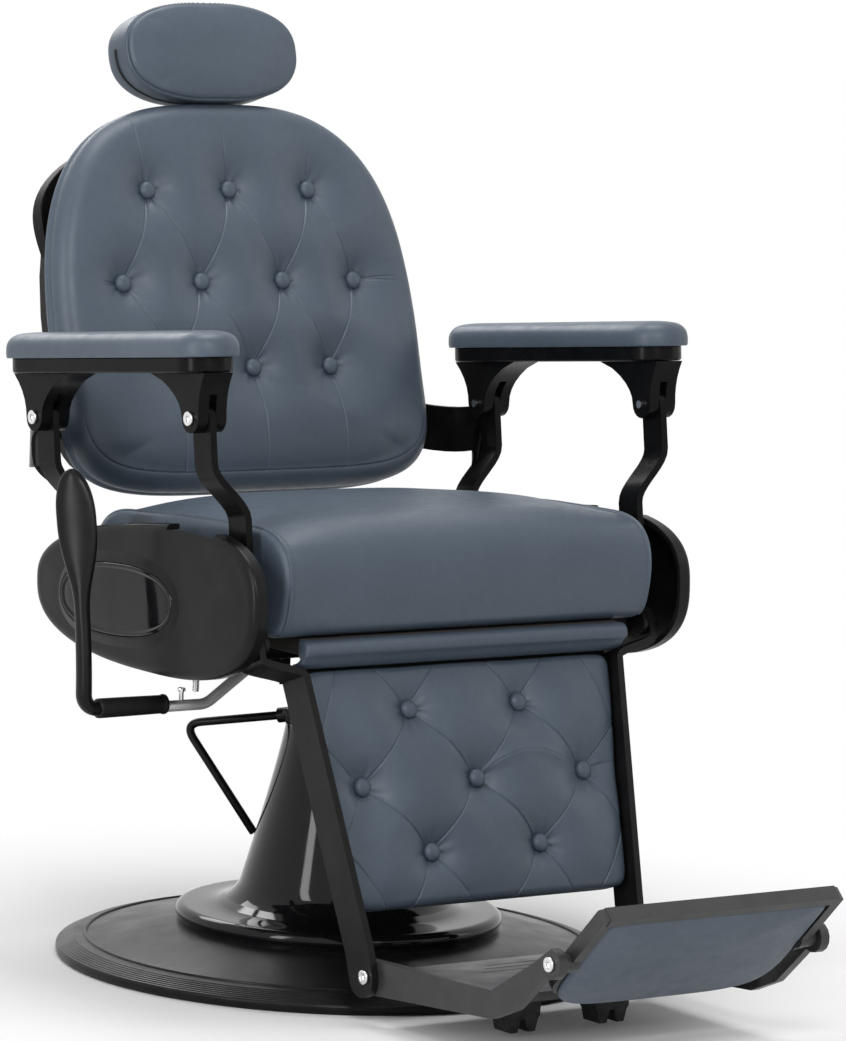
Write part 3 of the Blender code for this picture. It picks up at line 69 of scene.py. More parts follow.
# Places that the solids share with the pieces below
back_face = Vector((0, 0.2173, 0.6755))
back_recline = math.radians(16.1)
legrest_pivot = Vector((0, -0.2058, 0.4128))
legrest_tilt = math.radians(19.0)
panel_hinge = Vector((0, -0.652, 0.129))
panel_tilt = math.radians(44.5)
arm_middle = Vector((0, 0.0093, 0.64535))
arm_tilt = math.radians(5.67)
arm_x = 0.316
cover_middle = Vector((0, -0.024, 0.4495))
badge_middle = Vector((0, 0.018, 0.437))
cover_tilt = math.radians(3.3)


def axes(origin, across, up, out):
    """The matrix that puts local u, v and w along three directions from an origin."""
    columns = (across, up, out, origin)
    return Matrix([[column[row] for column in columns] for row in range(3)] + [[0, 0, 0, 1]])


def tilted(origin, tilt, lean):
    """Axes of a pad that leans back or forward: u across, v up along it and w out of its face."""
    c, s = math.cos(tilt), math.sin(tilt)
    return axes(origin, (1, 0, 0), (0, lean * s, c), (0, -c, lean * s))


BACK = tilted(back_face, back_recline, 1.0)
LEG = tilted(legrest_pivot, legrest_tilt, 1.0)
PANEL = tilted(panel_hinge, panel_tilt, -1.0)


def arm_axes(sign):
    """Axes of an arm: u forward, v outward and w up."""
    c, s = math.cos(arm_tilt), math.sin(arm_tilt)
    origin = arm_middle + Vector((sign * arm_x, 0, 0))
    return axes(origin, (0, -c, s), (sign, 0, 0), (0, s, c))


def cover_axes(sign, middle):
    """Axes of a side cover: u forward, v up and w outward."""
    c, s = math.cos(cover_tilt), math.sin(cover_tilt)
    return axes(middle, (0, -c, s), (0, s, c), (sign, 0, 0))


# Camera, light and floor
def make_camera():
    """The camera that took the photograph."""
    a, e, r = camera_azimuth, camera_pitch, camera_roll
    ahead = Vector((-math.sin(a) * math.cos(e), math.cos(a) * math.cos(e), -math.sin(e)))
    level = ahead.cross(Vector((0, 0, 1))).normalized()
    upright = level.cross(ahead)
    across = level * math.cos(r) + upright * math.sin(r)
    above = upright * math.cos(r) - level * math.sin(r)
    data = bpy.data.cameras.new("camera")
    data.sensor_width = sensor_width
    data.lens = focal_pixels * sensor_width / photo_size[1]
    data.shift_x = (photo_size[0] / 2 - principal_point[0]) / photo_size[1]
    data.shift_y = (principal_point[1] - photo_size[1] / 2) / photo_size[1]
    data.clip_end = 100.0
    camera = bpy.data.objects.new("camera", data)
    camera.matrix_world = axes(camera_place, across, above, -ahead)
    bpy.context.scene.collection.objects.link(camera)
    bpy.context.scene.camera = camera


def area_light(name, place, target, size, power):
    """A soft box that points at a target."""
    data = bpy.data.lights.new(name, "AREA")
    data.shape = "RECTANGLE"
    data.size, data.size_y = size
    data.energy = power
    lamp = bpy.data.objects.new(name, data)
    lamp.location = place
    lamp.rotation_mode = "QUATERNION"
    lamp.rotation_quaternion = (Vector(target) - Vector(place)).to_track_quat("-Z", "Y")
    bpy.context.scene.collection.objects.link(lamp)


def seen_directly(tree):
    """A value that is 1 for camera, glossy and transmission rays and 0 for the rest."""
    path = tree.nodes.new("ShaderNodeLightPath")
    total = path.outputs["Is Camera Ray"]
    for name in ("Is Glossy Ray", "Is Transmission Ray"):
        most = tree.nodes.new("ShaderNodeMath")
        most.operation = "MAXIMUM"
        tree.links.new(total, most.inputs[0])
        tree.links.new(path.outputs[name], most.inputs[1])
        total = most.outputs[0]
    return total


def make_world():
    """Surroundings that are white where they are seen and dim where they light the object."""
    world = bpy.data.worlds.new("studio")
    bpy.context.scene.world = world
    world.use_nodes = True
    tree = world.node_tree
    background = tree.nodes["Background"]
    background.inputs["Color"].default_value = (1, 1, 1, 1)
    strength = tree.nodes.new("ShaderNodeMapRange")
    strength.inputs["To Min"].default_value = 0.15
    strength.inputs["To Max"].default_value = 1.0
    tree.links.new(seen_directly(tree), strength.inputs["Value"])
    tree.links.new(strength.outputs[0], background.inputs["Strength"])


def make_floor():
    """A pale floor that keeps the shadow near the object and runs out into white."""
    reach = 12.0
    shadow_start, shadow_end = 0.36, 0.95
    mesh = bpy.data.meshes.new("floor")
    corners = [(-reach, -reach, 0), (reach, -reach, 0), (reach, reach, 0), (-reach, reach, 0)]
    mesh.from_pydata(corners, [], [(0, 1, 2, 3)])
    floor = bpy.data.objects.new("floor", mesh)
    bpy.context.scene.collection.objects.link(floor)
    n = Nodes("floor")
    n.set(Base_Color=(0.93, 0.93, 0.93, 1), Roughness=0.9)
    away = n.add("ShaderNodeVectorMath")
    away.operation = "LENGTH"
    n.feed(away.inputs[0], n.place)
    fade = n.between(away.outputs["Value"], 0.0, 1.0, shadow_start, shadow_end)
    fade.node.interpolation_type = "SMOOTHSTEP"
    white = n.add("ShaderNodeEmission").outputs[0]
    mix = n.add("ShaderNodeMixShader")
    n.feed(mix.inputs[0], n.combined("MULTIPLY", fade, seen_directly(n.tree)))
    n.feed(mix.inputs[1], n.shader.outputs[0])
    n.feed(mix.inputs[2], white)
    n.feed(n.tree.nodes["Material Output"].inputs["Surface"], mix.outputs[0])
    mesh.materials.append(n.material)


def make_lamps():
    """Soft boxes: overhead, a key on the left, a low one in front, a tall strip, and two fills."""
    middle = (0, -0.1, 0.6)
    area_light("overhead", (0.1, 0.3, 3.3), middle, (1.5, 1.5), 50)
    area_light("key", (-1.7, -3.0, 2.7), middle, (0.9, 0.9), 45)
    area_light("front", (-0.8, -3.2, 1.6), (0, -0.3, 0.25), (1.2, 0.8), 10)
    area_light("strip", (-3.15, -0.72, 1.35), (0, 0, 0.5), (0.58, 2.4), 46)
    area_light("fill", (3.0, -1.6, 1.8), middle, (1.2, 2.2), 10)
    area_light("rear", (0.2, 2.9, 2.4), middle, (2.0, 0.9), 30)


# Materials
class Nodes:
    """A material's node tree with short ways to add the nodes used here."""

    def __init__(self, name):
        self.material = bpy.data.materials.new(name)
        self.material.use_nodes = True
        self.tree = self.material.node_tree
        self.shader = self.tree.nodes["Principled BSDF"]
        self.place = self.add("ShaderNodeTexCoord").outputs["Object"]

    def feed(self, socket, value):
        if isinstance(value, bpy.types.NodeSocket):
            self.tree.links.new(value, socket)
        else:
            socket.default_value = value

    def fill(self, node, inputs):
        for key, value in inputs.items():
            self.feed(node.inputs[key.replace("_", " ")], value)
        return node

    def add(self, kind, **inputs):
        return self.fill(self.tree.nodes.new(kind), inputs)

    def set(self, **inputs):
        self.fill(self.shader, inputs)

    def stretched(self, scale):
        return self.add("ShaderNodeMapping", Vector=self.place, Scale=scale).outputs[0]

    def noise(self, scale, detail=2.0, vector=None):
        made = self.add("ShaderNodeTexNoise", Scale=scale, Detail=detail, Vector=vector or self.place)
        return made.outputs["Fac"]

    def pebbles(self, scale):
        made = self.add("ShaderNodeTexVoronoi", Scale=scale, Vector=self.place)
        made.feature = "DISTANCE_TO_EDGE"
        return made.outputs["Distance"]

    def between(self, value, low, high, start, end):
        made = self.add("ShaderNodeMapRange", Value=value, From_Min=start, From_Max=end,
                        To_Min=low, To_Max=high)
        return made.outputs[0]

    def combined(self, operation, first, second):
        made = self.add("ShaderNodeMath")
        made.operation = operation
        self.feed(made.inputs[0], first)
        self.feed(made.inputs[1], second)
        return made.outputs[0]

    def ramp(self, value, *stops):
        made = self.add("ShaderNodeValToRGB", Fac=value)
        ramp = made.color_ramp
        while len(ramp.elements) < len(stops):
            ramp.elements.new(0.5)
        for element, (position, colour) in zip(ramp.elements, stops):
            element.position = position
            element.color = (*colour, 1)
        return made.outputs["Color"]

    def bump(self, height, strength, distance, normal=None):
        made = self.add("ShaderNodeBump", Height=height, Strength=strength, Distance=distance)
        if normal is not None:
            self.feed(made.inputs["Normal"], normal)
        return made.outputs[0]


def leather(name):
    """Smooth blue-grey leather: fine pebble grain, slow colour drift and a soft sheen."""
    n = Nodes(name)
    mottle = n.between(n.noise(140.0, 2.0), -0.12, 0.12, 0.3, 0.7)
    drift = n.combined("ADD", n.noise(9.0, 3.0), mottle)
    colour = n.ramp(drift, (0.25, (0.064, 0.085, 0.113)), (0.75, (0.078, 0.102, 0.134)))
    rough = n.between(n.noise(60.0, 3.0), 0.38, 0.50, 0.3, 0.7)
    grain = n.bump(n.pebbles(620.0), 0.10, 0.0006)
    fine = n.bump(n.noise(2300.0, 2.0), 0.06, 0.0003, grain)
    n.set(Base_Color=colour, Roughness=rough, Normal=fine, Specular_IOR_Level=0.36)
    return n.material


def coating(name, tone, stops, gloss, relief, span=(0.3, 0.7), **inputs):
    """A material with drifting colour and gloss and a fine relief.

    Tone is a noise's scale and detail, gloss the same and a range of roughness, and relief the same
    and the strength and distance of a bump.
    """
    n = Nodes(name)
    colour = n.ramp(n.noise(*tone), *stops)
    rough = n.between(n.noise(*gloss[:2]), *gloss[2:], *span)
    normal = n.bump(n.noise(*relief[:2]), *relief[2:])
    n.set(Base_Color=colour, Roughness=rough, Normal=normal, **inputs)
    return n.material


def paint(name, dark, light, rough, grain=1500.0, strength=0.05, shine=0.22):
    """Satin paint with fine orange peel and a little drift in its gloss."""
    return coating(name, (35.0, 4.0), ((0.3, dark), (0.75, light)), (22.0, 4.0, rough - 0.05, rough + 0.07),
                   (grain, 2.0, strength, 0.0004), Specular_IOR_Level=shine)


def gloss_black(name):
    """High gloss black with a faint ripple and fine dust."""
    stops = ((0.55, (0.006, 0.006, 0.007)), (0.8, (0.014, 0.014, 0.015)))
    return coating(name, (400.0, 5.0), stops, (55.0, 4.0, 0.05, 0.12), (26.0, 1.0, 0.03, 0.002),
                   (0.35, 0.7), Specular_IOR_Level=0.22)


def casting(name):
    """Dark grey coated casting with a pebbled skin."""
    stops = ((0.3, (0.026, 0.026, 0.027)), (0.75, (0.040, 0.040, 0.042)))
    return coating(name, (60.0, 4.0), stops, (30.0, 3.0, 0.36, 0.50), (900.0, 3.0, 0.12, 0.0005),
                   Metallic=0.25)


def steel(name, metal=1.0, rough=0.16):
    """Bright plated steel with fine polishing streaks."""
    n = Nodes(name)
    streak = n.noise(90.0, 4.0, n.stretched((1.0, 14.0, 14.0)))
    colour = n.ramp(streak, (0.3, (0.70, 0.70, 0.71)), (0.7, (0.82, 0.82, 0.83)))
    gloss = n.between(streak, rough, rough + 0.14, 0.3, 0.7)
    n.set(Base_Color=colour, Roughness=gloss, Normal=n.bump(streak, 0.03, 0.0003), Metallic=metal)
    return n.material


def rubber(name):
    """Matt black rubber."""
    stops = ((0.3, (0.008, 0.008, 0.008)), (0.8, (0.022, 0.022, 0.022)))
    return coating(name, (80.0, 4.0), stops, (120.0, 2.0, 0.55, 0.8), (1200.0, 3.0, 0.2, 0.0005))


def plywood(name):
    """Plywood stained nearly black, with its figure just showing."""
    n = Nodes(name)
    figure = n.noise(30.0, 5.0, n.stretched((1.0, 9.0, 9.0)))
    colour = n.ramp(figure, (0.3, (0.010, 0.008, 0.007)), (0.5, (0.016, 0.013, 0.011)),
                    (0.75, (0.024, 0.019, 0.015)))
    n.set(Base_Color=colour, Roughness=n.between(figure, 0.55, 0.75, 0.3, 0.7),
          Normal=n.bump(figure, 0.15, 0.0005))
    return n.material


MATERIALS = {
    "upholstery": leather("leather"),
    "black_paint": paint("satin_black", (0.005, 0.005, 0.0055), (0.010, 0.010, 0.0105), 0.31, shine=0.15),
    "gloss_black": gloss_black("gloss_black"),
    "grey_casting": casting("grey_casting"),
    "polished_steel": steel("bright_steel"),
    "black_rubber": rubber("rubber"),
    "plywood": plywood("plywood"),
}
MATTE = paint("matte_black", (0.006, 0.006, 0.006), (0.011, 0.011, 0.011), 0.55, 900.0, 0.10)
ENAMEL = paint("black_enamel", (0.003, 0.003, 0.0032), (0.006, 0.006, 0.0062), 0.25, shine=0.08)
SATIN_STEEL = steel("satin_steel", 0.60, 0.34)
THREAD = paint("thread", (0.075, 0.092, 0.115), (0.10, 0.12, 0.148), 0.6, 4000.0, 0.2)


bpy.context.scene.view_settings.view_transform = "Standard"
make_camera()
make_world()
make_floor()
make_lamps()


# Mesh helpers
@contextmanager
def edited(mesh):
    """A mesh opened for changes that are written back at the end."""
    shape = bmesh.new()
    shape.from_mesh(mesh)
    yield shape
    shape.to_mesh(mesh)
    shape.free()


def linked(name, mesh):
    """A new object for a mesh."""
    made = bpy.data.objects.new(name, mesh)
    bpy.context.scene.collection.objects.link(made)
    return made


def mesh_of(name, part):
    """A mesh from a list of points and a list of faces."""
    mesh = bpy.data.meshes.new(name)
    mesh.from_pydata([tuple(v) for v in part[0]], [], part[1])
    return mesh


def piece(name, part, body, slot, replaces=(), sharp=50.0, matrix=HERE, material=None):
    """A finished piece from local points and faces, in place on its body."""
    return dress(name, mesh_of(name, part), body, slot, replaces, sharp, matrix, material)


def dress(name, mesh, body, slot, replaces=(), sharp=50.0, matrix=HERE, material=None):
    """Put a mesh in place, make its faces look outward, and give it its material and body."""
    mesh.transform(matrix)
    with edited(mesh) as shape:
        bmesh.ops.recalc_face_normals(shape, faces=shape.faces)
    mesh.polygons.foreach_set("use_smooth", [True] * len(mesh.polygons))
    mesh.set_sharp_from_angle(angle=math.radians(sharp))
    mesh.materials.clear()
    mesh.materials.append(material or MATERIALS[slot])
    made = linked(name, mesh)
    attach(made, body)
    if replaces:
        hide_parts(*replaces)
    replaced.update(replaces)
    return made


def ease(value):
    """A smooth step from 0 to 1."""
    value = min(max(value, 0.0), 1.0)
    return value * value * (3 - 2 * value)


def loft(rings, caps=True):
    """Points and faces through rings of equal count, capped at both ends."""
    count = len(rings[0])
    verts = [p for ring in rings for p in ring]
    faces = []
    for start in range(0, len(verts) - count, count):
        for i in range(count):
            j = (i + 1) % count
            faces.append((start + i, start + j, start + count + j, start + count + i))
    if caps:
        faces.append(tuple(range(count))[::-1])
        faces.append(tuple(range(len(verts) - count, len(verts))))
    return verts, faces


def closed_loft(rings):
    """Points and faces through rings of equal count, from the last back to the first."""
    verts, faces = loft(rings + rings[:1], False)
    verts = verts[:-len(rings[0])]
    return verts, [[i % len(verts) for i in face] for face in faces]


def circle(radius, level, sides):
    """A level ring of points round the axis."""
    turns = [2 * math.pi * k / sides for k in range(sides)]
    return [(radius * math.cos(turn), radius * math.sin(turn), level) for turn in turns]


def arc(centre, turns, across, up):
    """Points round a centre at turns in degrees, with a reach across and up."""
    angles = [math.radians(turn) for turn in turns]
    return [(centre[0] + across * math.cos(a), centre[1] + up * math.sin(a)) for a in angles]


def rounded_turn(turn, power):
    """A place on a rounded unit square at a turn."""
    c, s = math.cos(turn), math.sin(turn)
    return math.copysign(abs(c) ** (2 / power), c), math.copysign(abs(s) ** (2 / power), s)


def lathe_rings(profile, steps):
    """Rings of a turned solid from (radius, height) pairs."""
    least = 1e-4
    return [circle(max(radius, least), height, steps) for radius, height in profile]


def curve_through(points, steps):
    """Points on a smooth curve through the given ones."""
    known = [Vector(p) for p in points]
    padded = [2 * known[0] - known[1]] + known + [2 * known[-1] - known[-2]]
    result = []
    for i in range(len(known) - 1):
        a, b, c, d = padded[i:i + 4]
        for k in range(steps):
            t = k / steps
            result.append(0.5 * (2 * b + (c - a) * t + (2 * a - 5 * b + 4 * c - d) * t ** 2
                                 + (3 * b - a - 3 * c + d) * t ** 3))
    return result + [known[-1]]


def rounded_corner(before, here, after, radius, steps, limit=math.inf):
    """Points of a curve that rounds one corner of a path, within a share of its two sides."""
    a, b = before - here, after - here
    reach = min(radius / math.tan(a.angle(b) / 2), a.length * limit, b.length * limit)
    start, end = here + a.normalized() * reach, here + b.normalized() * reach
    shares = [k / steps for k in range(steps + 1)]
    return [start * (1 - t) ** 2 + here * 2 * t * (1 - t) + end * t ** 2 for t in shares]


def rounded_path(corners, radius, steps):
    """A path with its inner corners rounded."""
    corners = [Vector(c) for c in corners]
    path = [corners[0]]
    for before, here, after in zip(corners, corners[1:], corners[2:]):
        path += rounded_corner(before, here, after, radius, steps, 0.49)
    return path + [corners[-1]]


def oval(centre, across, along, half_a, half_b, sides=36):
    """A ring of points round a centre."""
    ring = []
    for k in range(sides):
        turn = 2 * math.pi * k / sides
        ring.append(centre + across * half_a * math.cos(turn) + along * half_b * math.sin(turn))
    return ring


def tube_rings(path, radius, sides):
    """Rings of a round bar along a path, turned as little as possible."""
    path = [Vector(p) for p in path]
    side = None
    rings = []
    for i, place in enumerate(path):
        along = (path[min(i + 1, len(path) - 1)] - path[max(i - 1, 0)]).normalized()
        if side is None:
            side = along.orthogonal().normalized()
        side = (side - along * side.dot(along)).normalized()
        rings.append(oval(place, side, along.cross(side), radius, radius, sides))
    return rings


def rounded_tube(path, radius, sides=24, edge=0.0012):
    """A round bar with softened ends."""
    path = [Vector(p) for p in path]
    rings = tube_rings(path, radius, sides)
    ends = []
    for end, inward in ((0, path[1] - path[0]), (-1, path[-2] - path[-1])):
        ends.append([path[end] + (p - path[end]) * (1 - edge / radius) for p in rings[end]])
        rings[end] = [p + inward.normalized() * edge for p in rings[end]]
    return loft(ends[:1] + rings + ends[1:])


def joined(parts):
    """Several point and face lists as one."""
    verts, faces = [], []
    for more, shape in parts:
        start = len(verts)
        verts.extend(more)
        faces.extend(tuple(i + start for i in face) for face in shape)
    return verts, faces


def moved(part, matrix):
    """A point and face list after a transform."""
    verts, faces = part
    return [matrix @ Vector(v) for v in verts], faces


# Upholstery helpers
def squircle(a, b, half_width, top, bottom, inset):
    """Square coordinates to an outline whose upper and lower half each have a height and a power."""
    reach = np.maximum(np.maximum(np.abs(a), np.abs(b)), 1e-9)
    height = np.where(b >= 0, top[0], bottom[0]) - inset
    power = np.where(b >= 0, top[1], bottom[1])
    total = (np.abs(a) / reach) ** power + (np.abs(b) / reach) ** power
    scale = np.maximum(total, 1e-9) ** (-1 / power)
    return a * scale * (half_width - inset), b * scale * height


def cushion(columns, rows, half_width, top, bottom, roll, depth, face, taper=None, waist=0.0,
            rear_roll=0.006):
    """A closed pad in local u, v and w: a gridded face, a rolled edge, a boxing wall and a flat back."""
    grid_a, grid_b = np.meshgrid(np.linspace(-1, 1, columns + 1), np.linspace(-1, 1, rows + 1))
    flat_a, flat_b = grid_a.ravel(), grid_b.ravel()
    index = np.arange(len(flat_a)).reshape(rows + 1, columns + 1)
    loop = np.concatenate([index[0, :-1], index[:-1, -1], index[-1, :0:-1], index[:0:-1, 0]])
    quads = np.stack([index[:-1, :-1], index[:-1, 1:], index[1:, 1:], index[1:, :-1]], -1).reshape(-1, 4)

    def outline(where_a, where_b, inset):
        u, v = squircle(where_a, where_b, half_width, top, bottom, inset)
        return (u * taper(v) if taper else u), v

    u, v = outline(flat_a, flat_b, roll)
    edge = np.maximum(np.abs(flat_a), np.abs(flat_b))
    verts = [np.column_stack([u, v, face(u, v, edge)])]
    rim_w = verts[0][loop, 2]
    rings = []
    for turn in (14, 28, 42, 57, 73, 90):
        angle = math.radians(turn)
        rings.append((roll * (1 - math.sin(angle)), rim_w - roll * (1 - math.cos(angle))))
    wall_top, wall_foot = rim_w - roll, -depth + rear_roll
    for share in (0.25, 0.5, 0.75, 1.0):
        rings.append((waist * 4 * share * (1 - share), wall_top + (wall_foot - wall_top) * share))
    for turn in (45, 90):
        angle = math.radians(turn)
        level = wall_foot - rear_roll * math.sin(angle)
        rings.append((rear_roll * (1 - math.cos(angle)), np.full(len(loop), level)))
    faces = [quads]
    above = loop
    start = len(flat_a)
    for inset, level in rings:
        verts.append(np.column_stack([*outline(flat_a[loop], flat_b[loop], inset), level]))
        ring = np.arange(start, start + len(loop))
        faces.append(np.column_stack([np.roll(above, -1), above, ring, np.roll(ring, -1)]))
        above = ring
        start += len(loop)
    back_u, back_v = outline(flat_a, flat_b, rear_roll)
    inner = np.setdiff1d(index, loop)
    verts.append(np.column_stack([back_u[inner], back_v[inner], np.full(len(inner), -depth)]))
    number = np.zeros(len(flat_a), int)
    number[inner] = np.arange(start, start + len(inner))
    number[loop] = above
    faces.append(number[quads[:, [0, 3, 2, 1]]])
    return np.vstack(verts), np.vstack(faces).tolist()


def evened(travel, faces, held, rounds=24):
    """Travel of the points averaged with their neighbours, so that only broad fullness stays."""
    pairs = np.array([(f[k - 1], f[k]) for f in faces for k in range(len(f))])
    here, there = pairs.ravel(), pairs[:, ::-1].ravel()
    count = np.bincount(here)[:, None]
    for _ in range(rounds):
        total = np.column_stack([np.bincount(here, travel[there, k]) for k in range(3)])
        travel = 0.4 * travel + 0.6 * total / count
        travel[held] = 0.0
    return travel


cloth_pressure, cloth_frames = 4.0, 20


def swell(verts, faces, held, cap):
    """Let a closed cover fill out under pressure as cloth, held where held is true, and cap its travel."""
    cover = linked("swelling", mesh_of("swelling", (verts.tolist(), faces)))
    group = cover.vertex_groups.new(name="held")
    group.add([int(i) for i in np.nonzero(held)[0]], 1.0, "REPLACE")
    cloth = cover.modifiers.new("cloth", "CLOTH")
    cloth.settings.quality = 6
    cloth.settings.mass = 0.3
    cloth.settings.tension_stiffness = 12
    cloth.settings.compression_stiffness = 12
    cloth.settings.shear_stiffness = 6
    cloth.settings.bending_stiffness = 0.6
    cloth.settings.use_pressure = True
    cloth.settings.uniform_pressure_force = cloth_pressure
    cloth.settings.effector_weights.gravity = 0
    cloth.settings.vertex_group_mass = "held"
    cloth.collision_settings.use_collision = False
    cloth.point_cache.frame_end = cloth_frames
    for step in range(1, cloth_frames + 1):
        bpy.context.scene.frame_set(step)
    result = cover.evaluated_get(bpy.context.evaluated_depsgraph_get()).to_mesh()
    filled = np.zeros(len(verts) * 3)
    result.vertices.foreach_get("co", filled)
    bpy.data.objects.remove(cover)
    bpy.context.scene.frame_set(1)
    travel = evened(filled.reshape(-1, 3) - verts, faces, held)
    length = np.linalg.norm(travel, axis=1, keepdims=True)
    return verts + travel * np.tanh(length / cap) * cap / np.maximum(length, 1e-9)


def distance_to(points, line):
    """Distance to a polyline, signed by its side, and the share of its length at the nearest point."""
    line = np.array(line, float)
    lengths = np.linalg.norm(np.diff(line, axis=0), axis=1)
    best = np.full(len(points), 1e9)
    share = np.zeros(len(points))
    side = np.zeros(len(points))
    done = 0.0
    for start, end, length in zip(line, line[1:], lengths):
        along = (end - start) / length
        offset = points - start
        t = np.clip(offset @ along, 0, length)
        away = offset - t[:, None] * along
        apart = np.linalg.norm(away, axis=1)
        closer = apart < best
        best = np.where(closer, apart, best)
        share = np.where(closer, (done + t) / lengths.sum(), share)
        side = np.where(closer, np.sign(along[0] * away[:, 1] - along[1] * away[:, 0]), side)
        done += length
    return best, share, side


def bowed(start, end, bow, steps=8):
    """A crease line between two points that bows sideways in the middle."""
    start, end = np.array(start, float), np.array(end, float)
    across = np.array([-(end - start)[1], (end - start)[0]])
    shares = np.linspace(0, 1, steps + 1)
    return [start + (end - start) * t + across * bow * 4 * t * (1 - t) for t in shares]


def refine(mesh, *levels):
    """Split the edges of a mesh once for each test of its points, so that fine folds have points."""
    with edited(mesh) as shape:
        for near in levels:
            shape.verts.index_update()
            wanted = near(np.array([v.co for v in shape.verts]))
            edges = [e for e in shape.edges if wanted[e.verts[0].index] and wanted[e.verts[1].index]]
            bmesh.ops.subdivide_edges(shape, edges=edges, cuts=1, use_grid_fill=True)


def smooth_mesh(verts, faces):
    """A mesh with its points subdivided on smooth curves."""
    base = linked("smooth", mesh_of("smooth", (np.asarray(verts).tolist(), faces)))
    base.modifiers.new("finer", "SUBSURF").levels = 1
    result = bpy.data.meshes.new_from_object(base.evaluated_get(bpy.context.evaluated_depsgraph_get()))
    bpy.data.objects.remove(base)
    return result


def coordinates(mesh):
    """Mesh points as an array."""
    co = np.zeros(len(mesh.vertices) * 3)
    mesh.vertices.foreach_get("co", co)
    return co.reshape(-1, 3)


fold_width, fold_lip, lip_share = 0.0010, 0.0026, 0.3
button_radius, button_height = 0.0108, 0.0078
fold_reach, line_reach, button_reach = 0.0065, 0.0032, 0.010
pucker_depth, pucker_radius, pucker_width = 0.0005, 0.016, 0.010
pucker_waves = ((7, 1.7, 1.0), (11, 2.9, 0.6))
face_blend = 0.006


def press_folds(mesh, creases, buttons, floor):
    """Press creases and puckers into the face of a pad, where w is above a floor.

    A crease is (line, valley depth, valley width, fold depth, fade at start, fade at end).
    """
    co = coordinates(mesh)
    front = np.clip((co[:, 2] - floor) / face_blend, 0, 1)
    drop = np.zeros(len(co))
    for line, valley, width, fold, fade_in, fade_out in creases:
        apart, share, side = distance_to(co[:, :2], line)
        strength = np.ones(len(co))
        if fade_in:
            strength *= np.clip(share / fade_in, 0, 1) ** 0.7
        if fade_out:
            strength *= np.clip((1 - share) / fade_out, 0, 1) ** 0.7
        hem = np.exp(-(apart / width) ** 2) * valley
        line_cut = np.exp(-(apart / fold_width) ** 2) * fold
        lip = side * apart / fold_lip * np.exp(-(apart / fold_lip) ** 2) * fold * lip_share
        drop += strength * (hem + line_cut - lip)
    for number, (u, v) in enumerate(buttons):
        apart = np.hypot(co[:, 0] - u, co[:, 1] - v)
        turn = np.arctan2(co[:, 1] - v, co[:, 0] - u)
        wave = sum(size * np.cos(count * turn + number * shift) for count, shift, size in pucker_waves)
        drop += pucker_depth * wave * np.exp(-((apart - pucker_radius) / pucker_width) ** 2)
    co[:, 2] -= drop * front
    mesh.vertices.foreach_set("co", co.ravel())
    mesh.update()


def button_part(u, v, w):
    """A covered button: a domed cap over a tucked-in edge."""
    shares = ((0, -0.6), (0.80, -0.6), (0.93, -0.25), (1, 0.05), (0.985, 0.30), (0.93, 0.52),
              (0.82, 0.70), (0.62, 0.86), (0.36, 0.96), (0, 1))
    profile = [(button_radius * r, button_height * h) for r, h in shares]
    return moved(loft(lathe_rings(profile, 28)), Matrix.Translation((u, v, w)))


def buttons_on(name, mesh, places, matrix, body):
    """Covered buttons in the dimples of a pad."""
    co = coordinates(mesh)
    parts = []
    for u, v in places:
        apart = np.hypot(co[:, 0] - u, co[:, 1] - v)
        rim = (apart > 0.8 * button_radius) & (apart < 1.25 * button_radius) & (co[:, 2] > -0.02)
        parts.append(button_part(u, v, float(co[rim, 2].mean())))
    piece(name, joined(parts), body, "upholstery", matrix=matrix)


def dimples(u, v, places, depth, radius):
    """How far the face is drawn in round its buttons."""
    drop = np.zeros_like(u)
    for place_u, place_v in places:
        apart = np.maximum(np.hypot(u - place_u, v - place_v) - 0.8 * button_radius, 0.0)
        drop = np.maximum(drop, depth * np.exp(-(apart / radius) ** 1.25))
    return drop


def near_lines(lines, buttons, reach, floor):
    """A test for points of a face that lie near its creases or buttons."""
    def test(places):
        close = np.zeros(len(places), bool)
        for line in lines:
            close |= distance_to(places[:, :2], line)[0] < reach
        for u, v in buttons:
            close |= np.hypot(places[:, 0] - u, places[:, 1] - v) < button_reach + reach
        return close & (places[:, 2] > floor)
    return test


def groove(mesh, measure, depth, width, keep=None):
    """Sink a seam along the line where a measure of the points is zero."""
    co = coordinates(mesh)
    normals = np.zeros(len(mesh.vertices) * 3)
    mesh.vertices.foreach_get("normal", normals)
    sink = depth * np.exp(-(measure(co) / width) ** 2)
    if keep is not None:
        sink *= keep(co)
    mesh.vertices.foreach_set("co", (co - normals.reshape(-1, 3) * sink[:, None]).ravel())
    mesh.update()


def stitches(name, mesh, targets, matrix, body, length=0.0042, radius=0.0006):
    """A row of thread stitches laid on a surface along target points."""
    tree = BVHTree.FromPolygons([v.co for v in mesh.vertices], [p.vertices for p in mesh.polygons])
    targets = [Vector(t) for t in targets]
    parts = []
    for here, after in zip(targets, targets[1:]):
        place, normal, _, _ = tree.find_nearest(here)
        ahead = tree.find_nearest(after)[0]
        along = (ahead - place).normalized() * length
        top = normal * radius * 0.5
        path = [place - normal * radius, place + along * 0.2 + top, place + along * 0.8 + top,
                place + along - normal * radius]
        parts.append(loft(tube_rings(path, radius, 6)))
    piece(name, joined(parts), body, "upholstery", (), 80, matrix, THREAD)


def button_holds(verts, buttons, reach, floor):
    """The points of a face that its buttons hold."""
    held = np.zeros(len(verts), bool)
    for u, v in buttons:
        held |= (np.hypot(verts[:, 0] - u, verts[:, 1] - v) < reach) & (verts[:, 2] > floor)
    return held


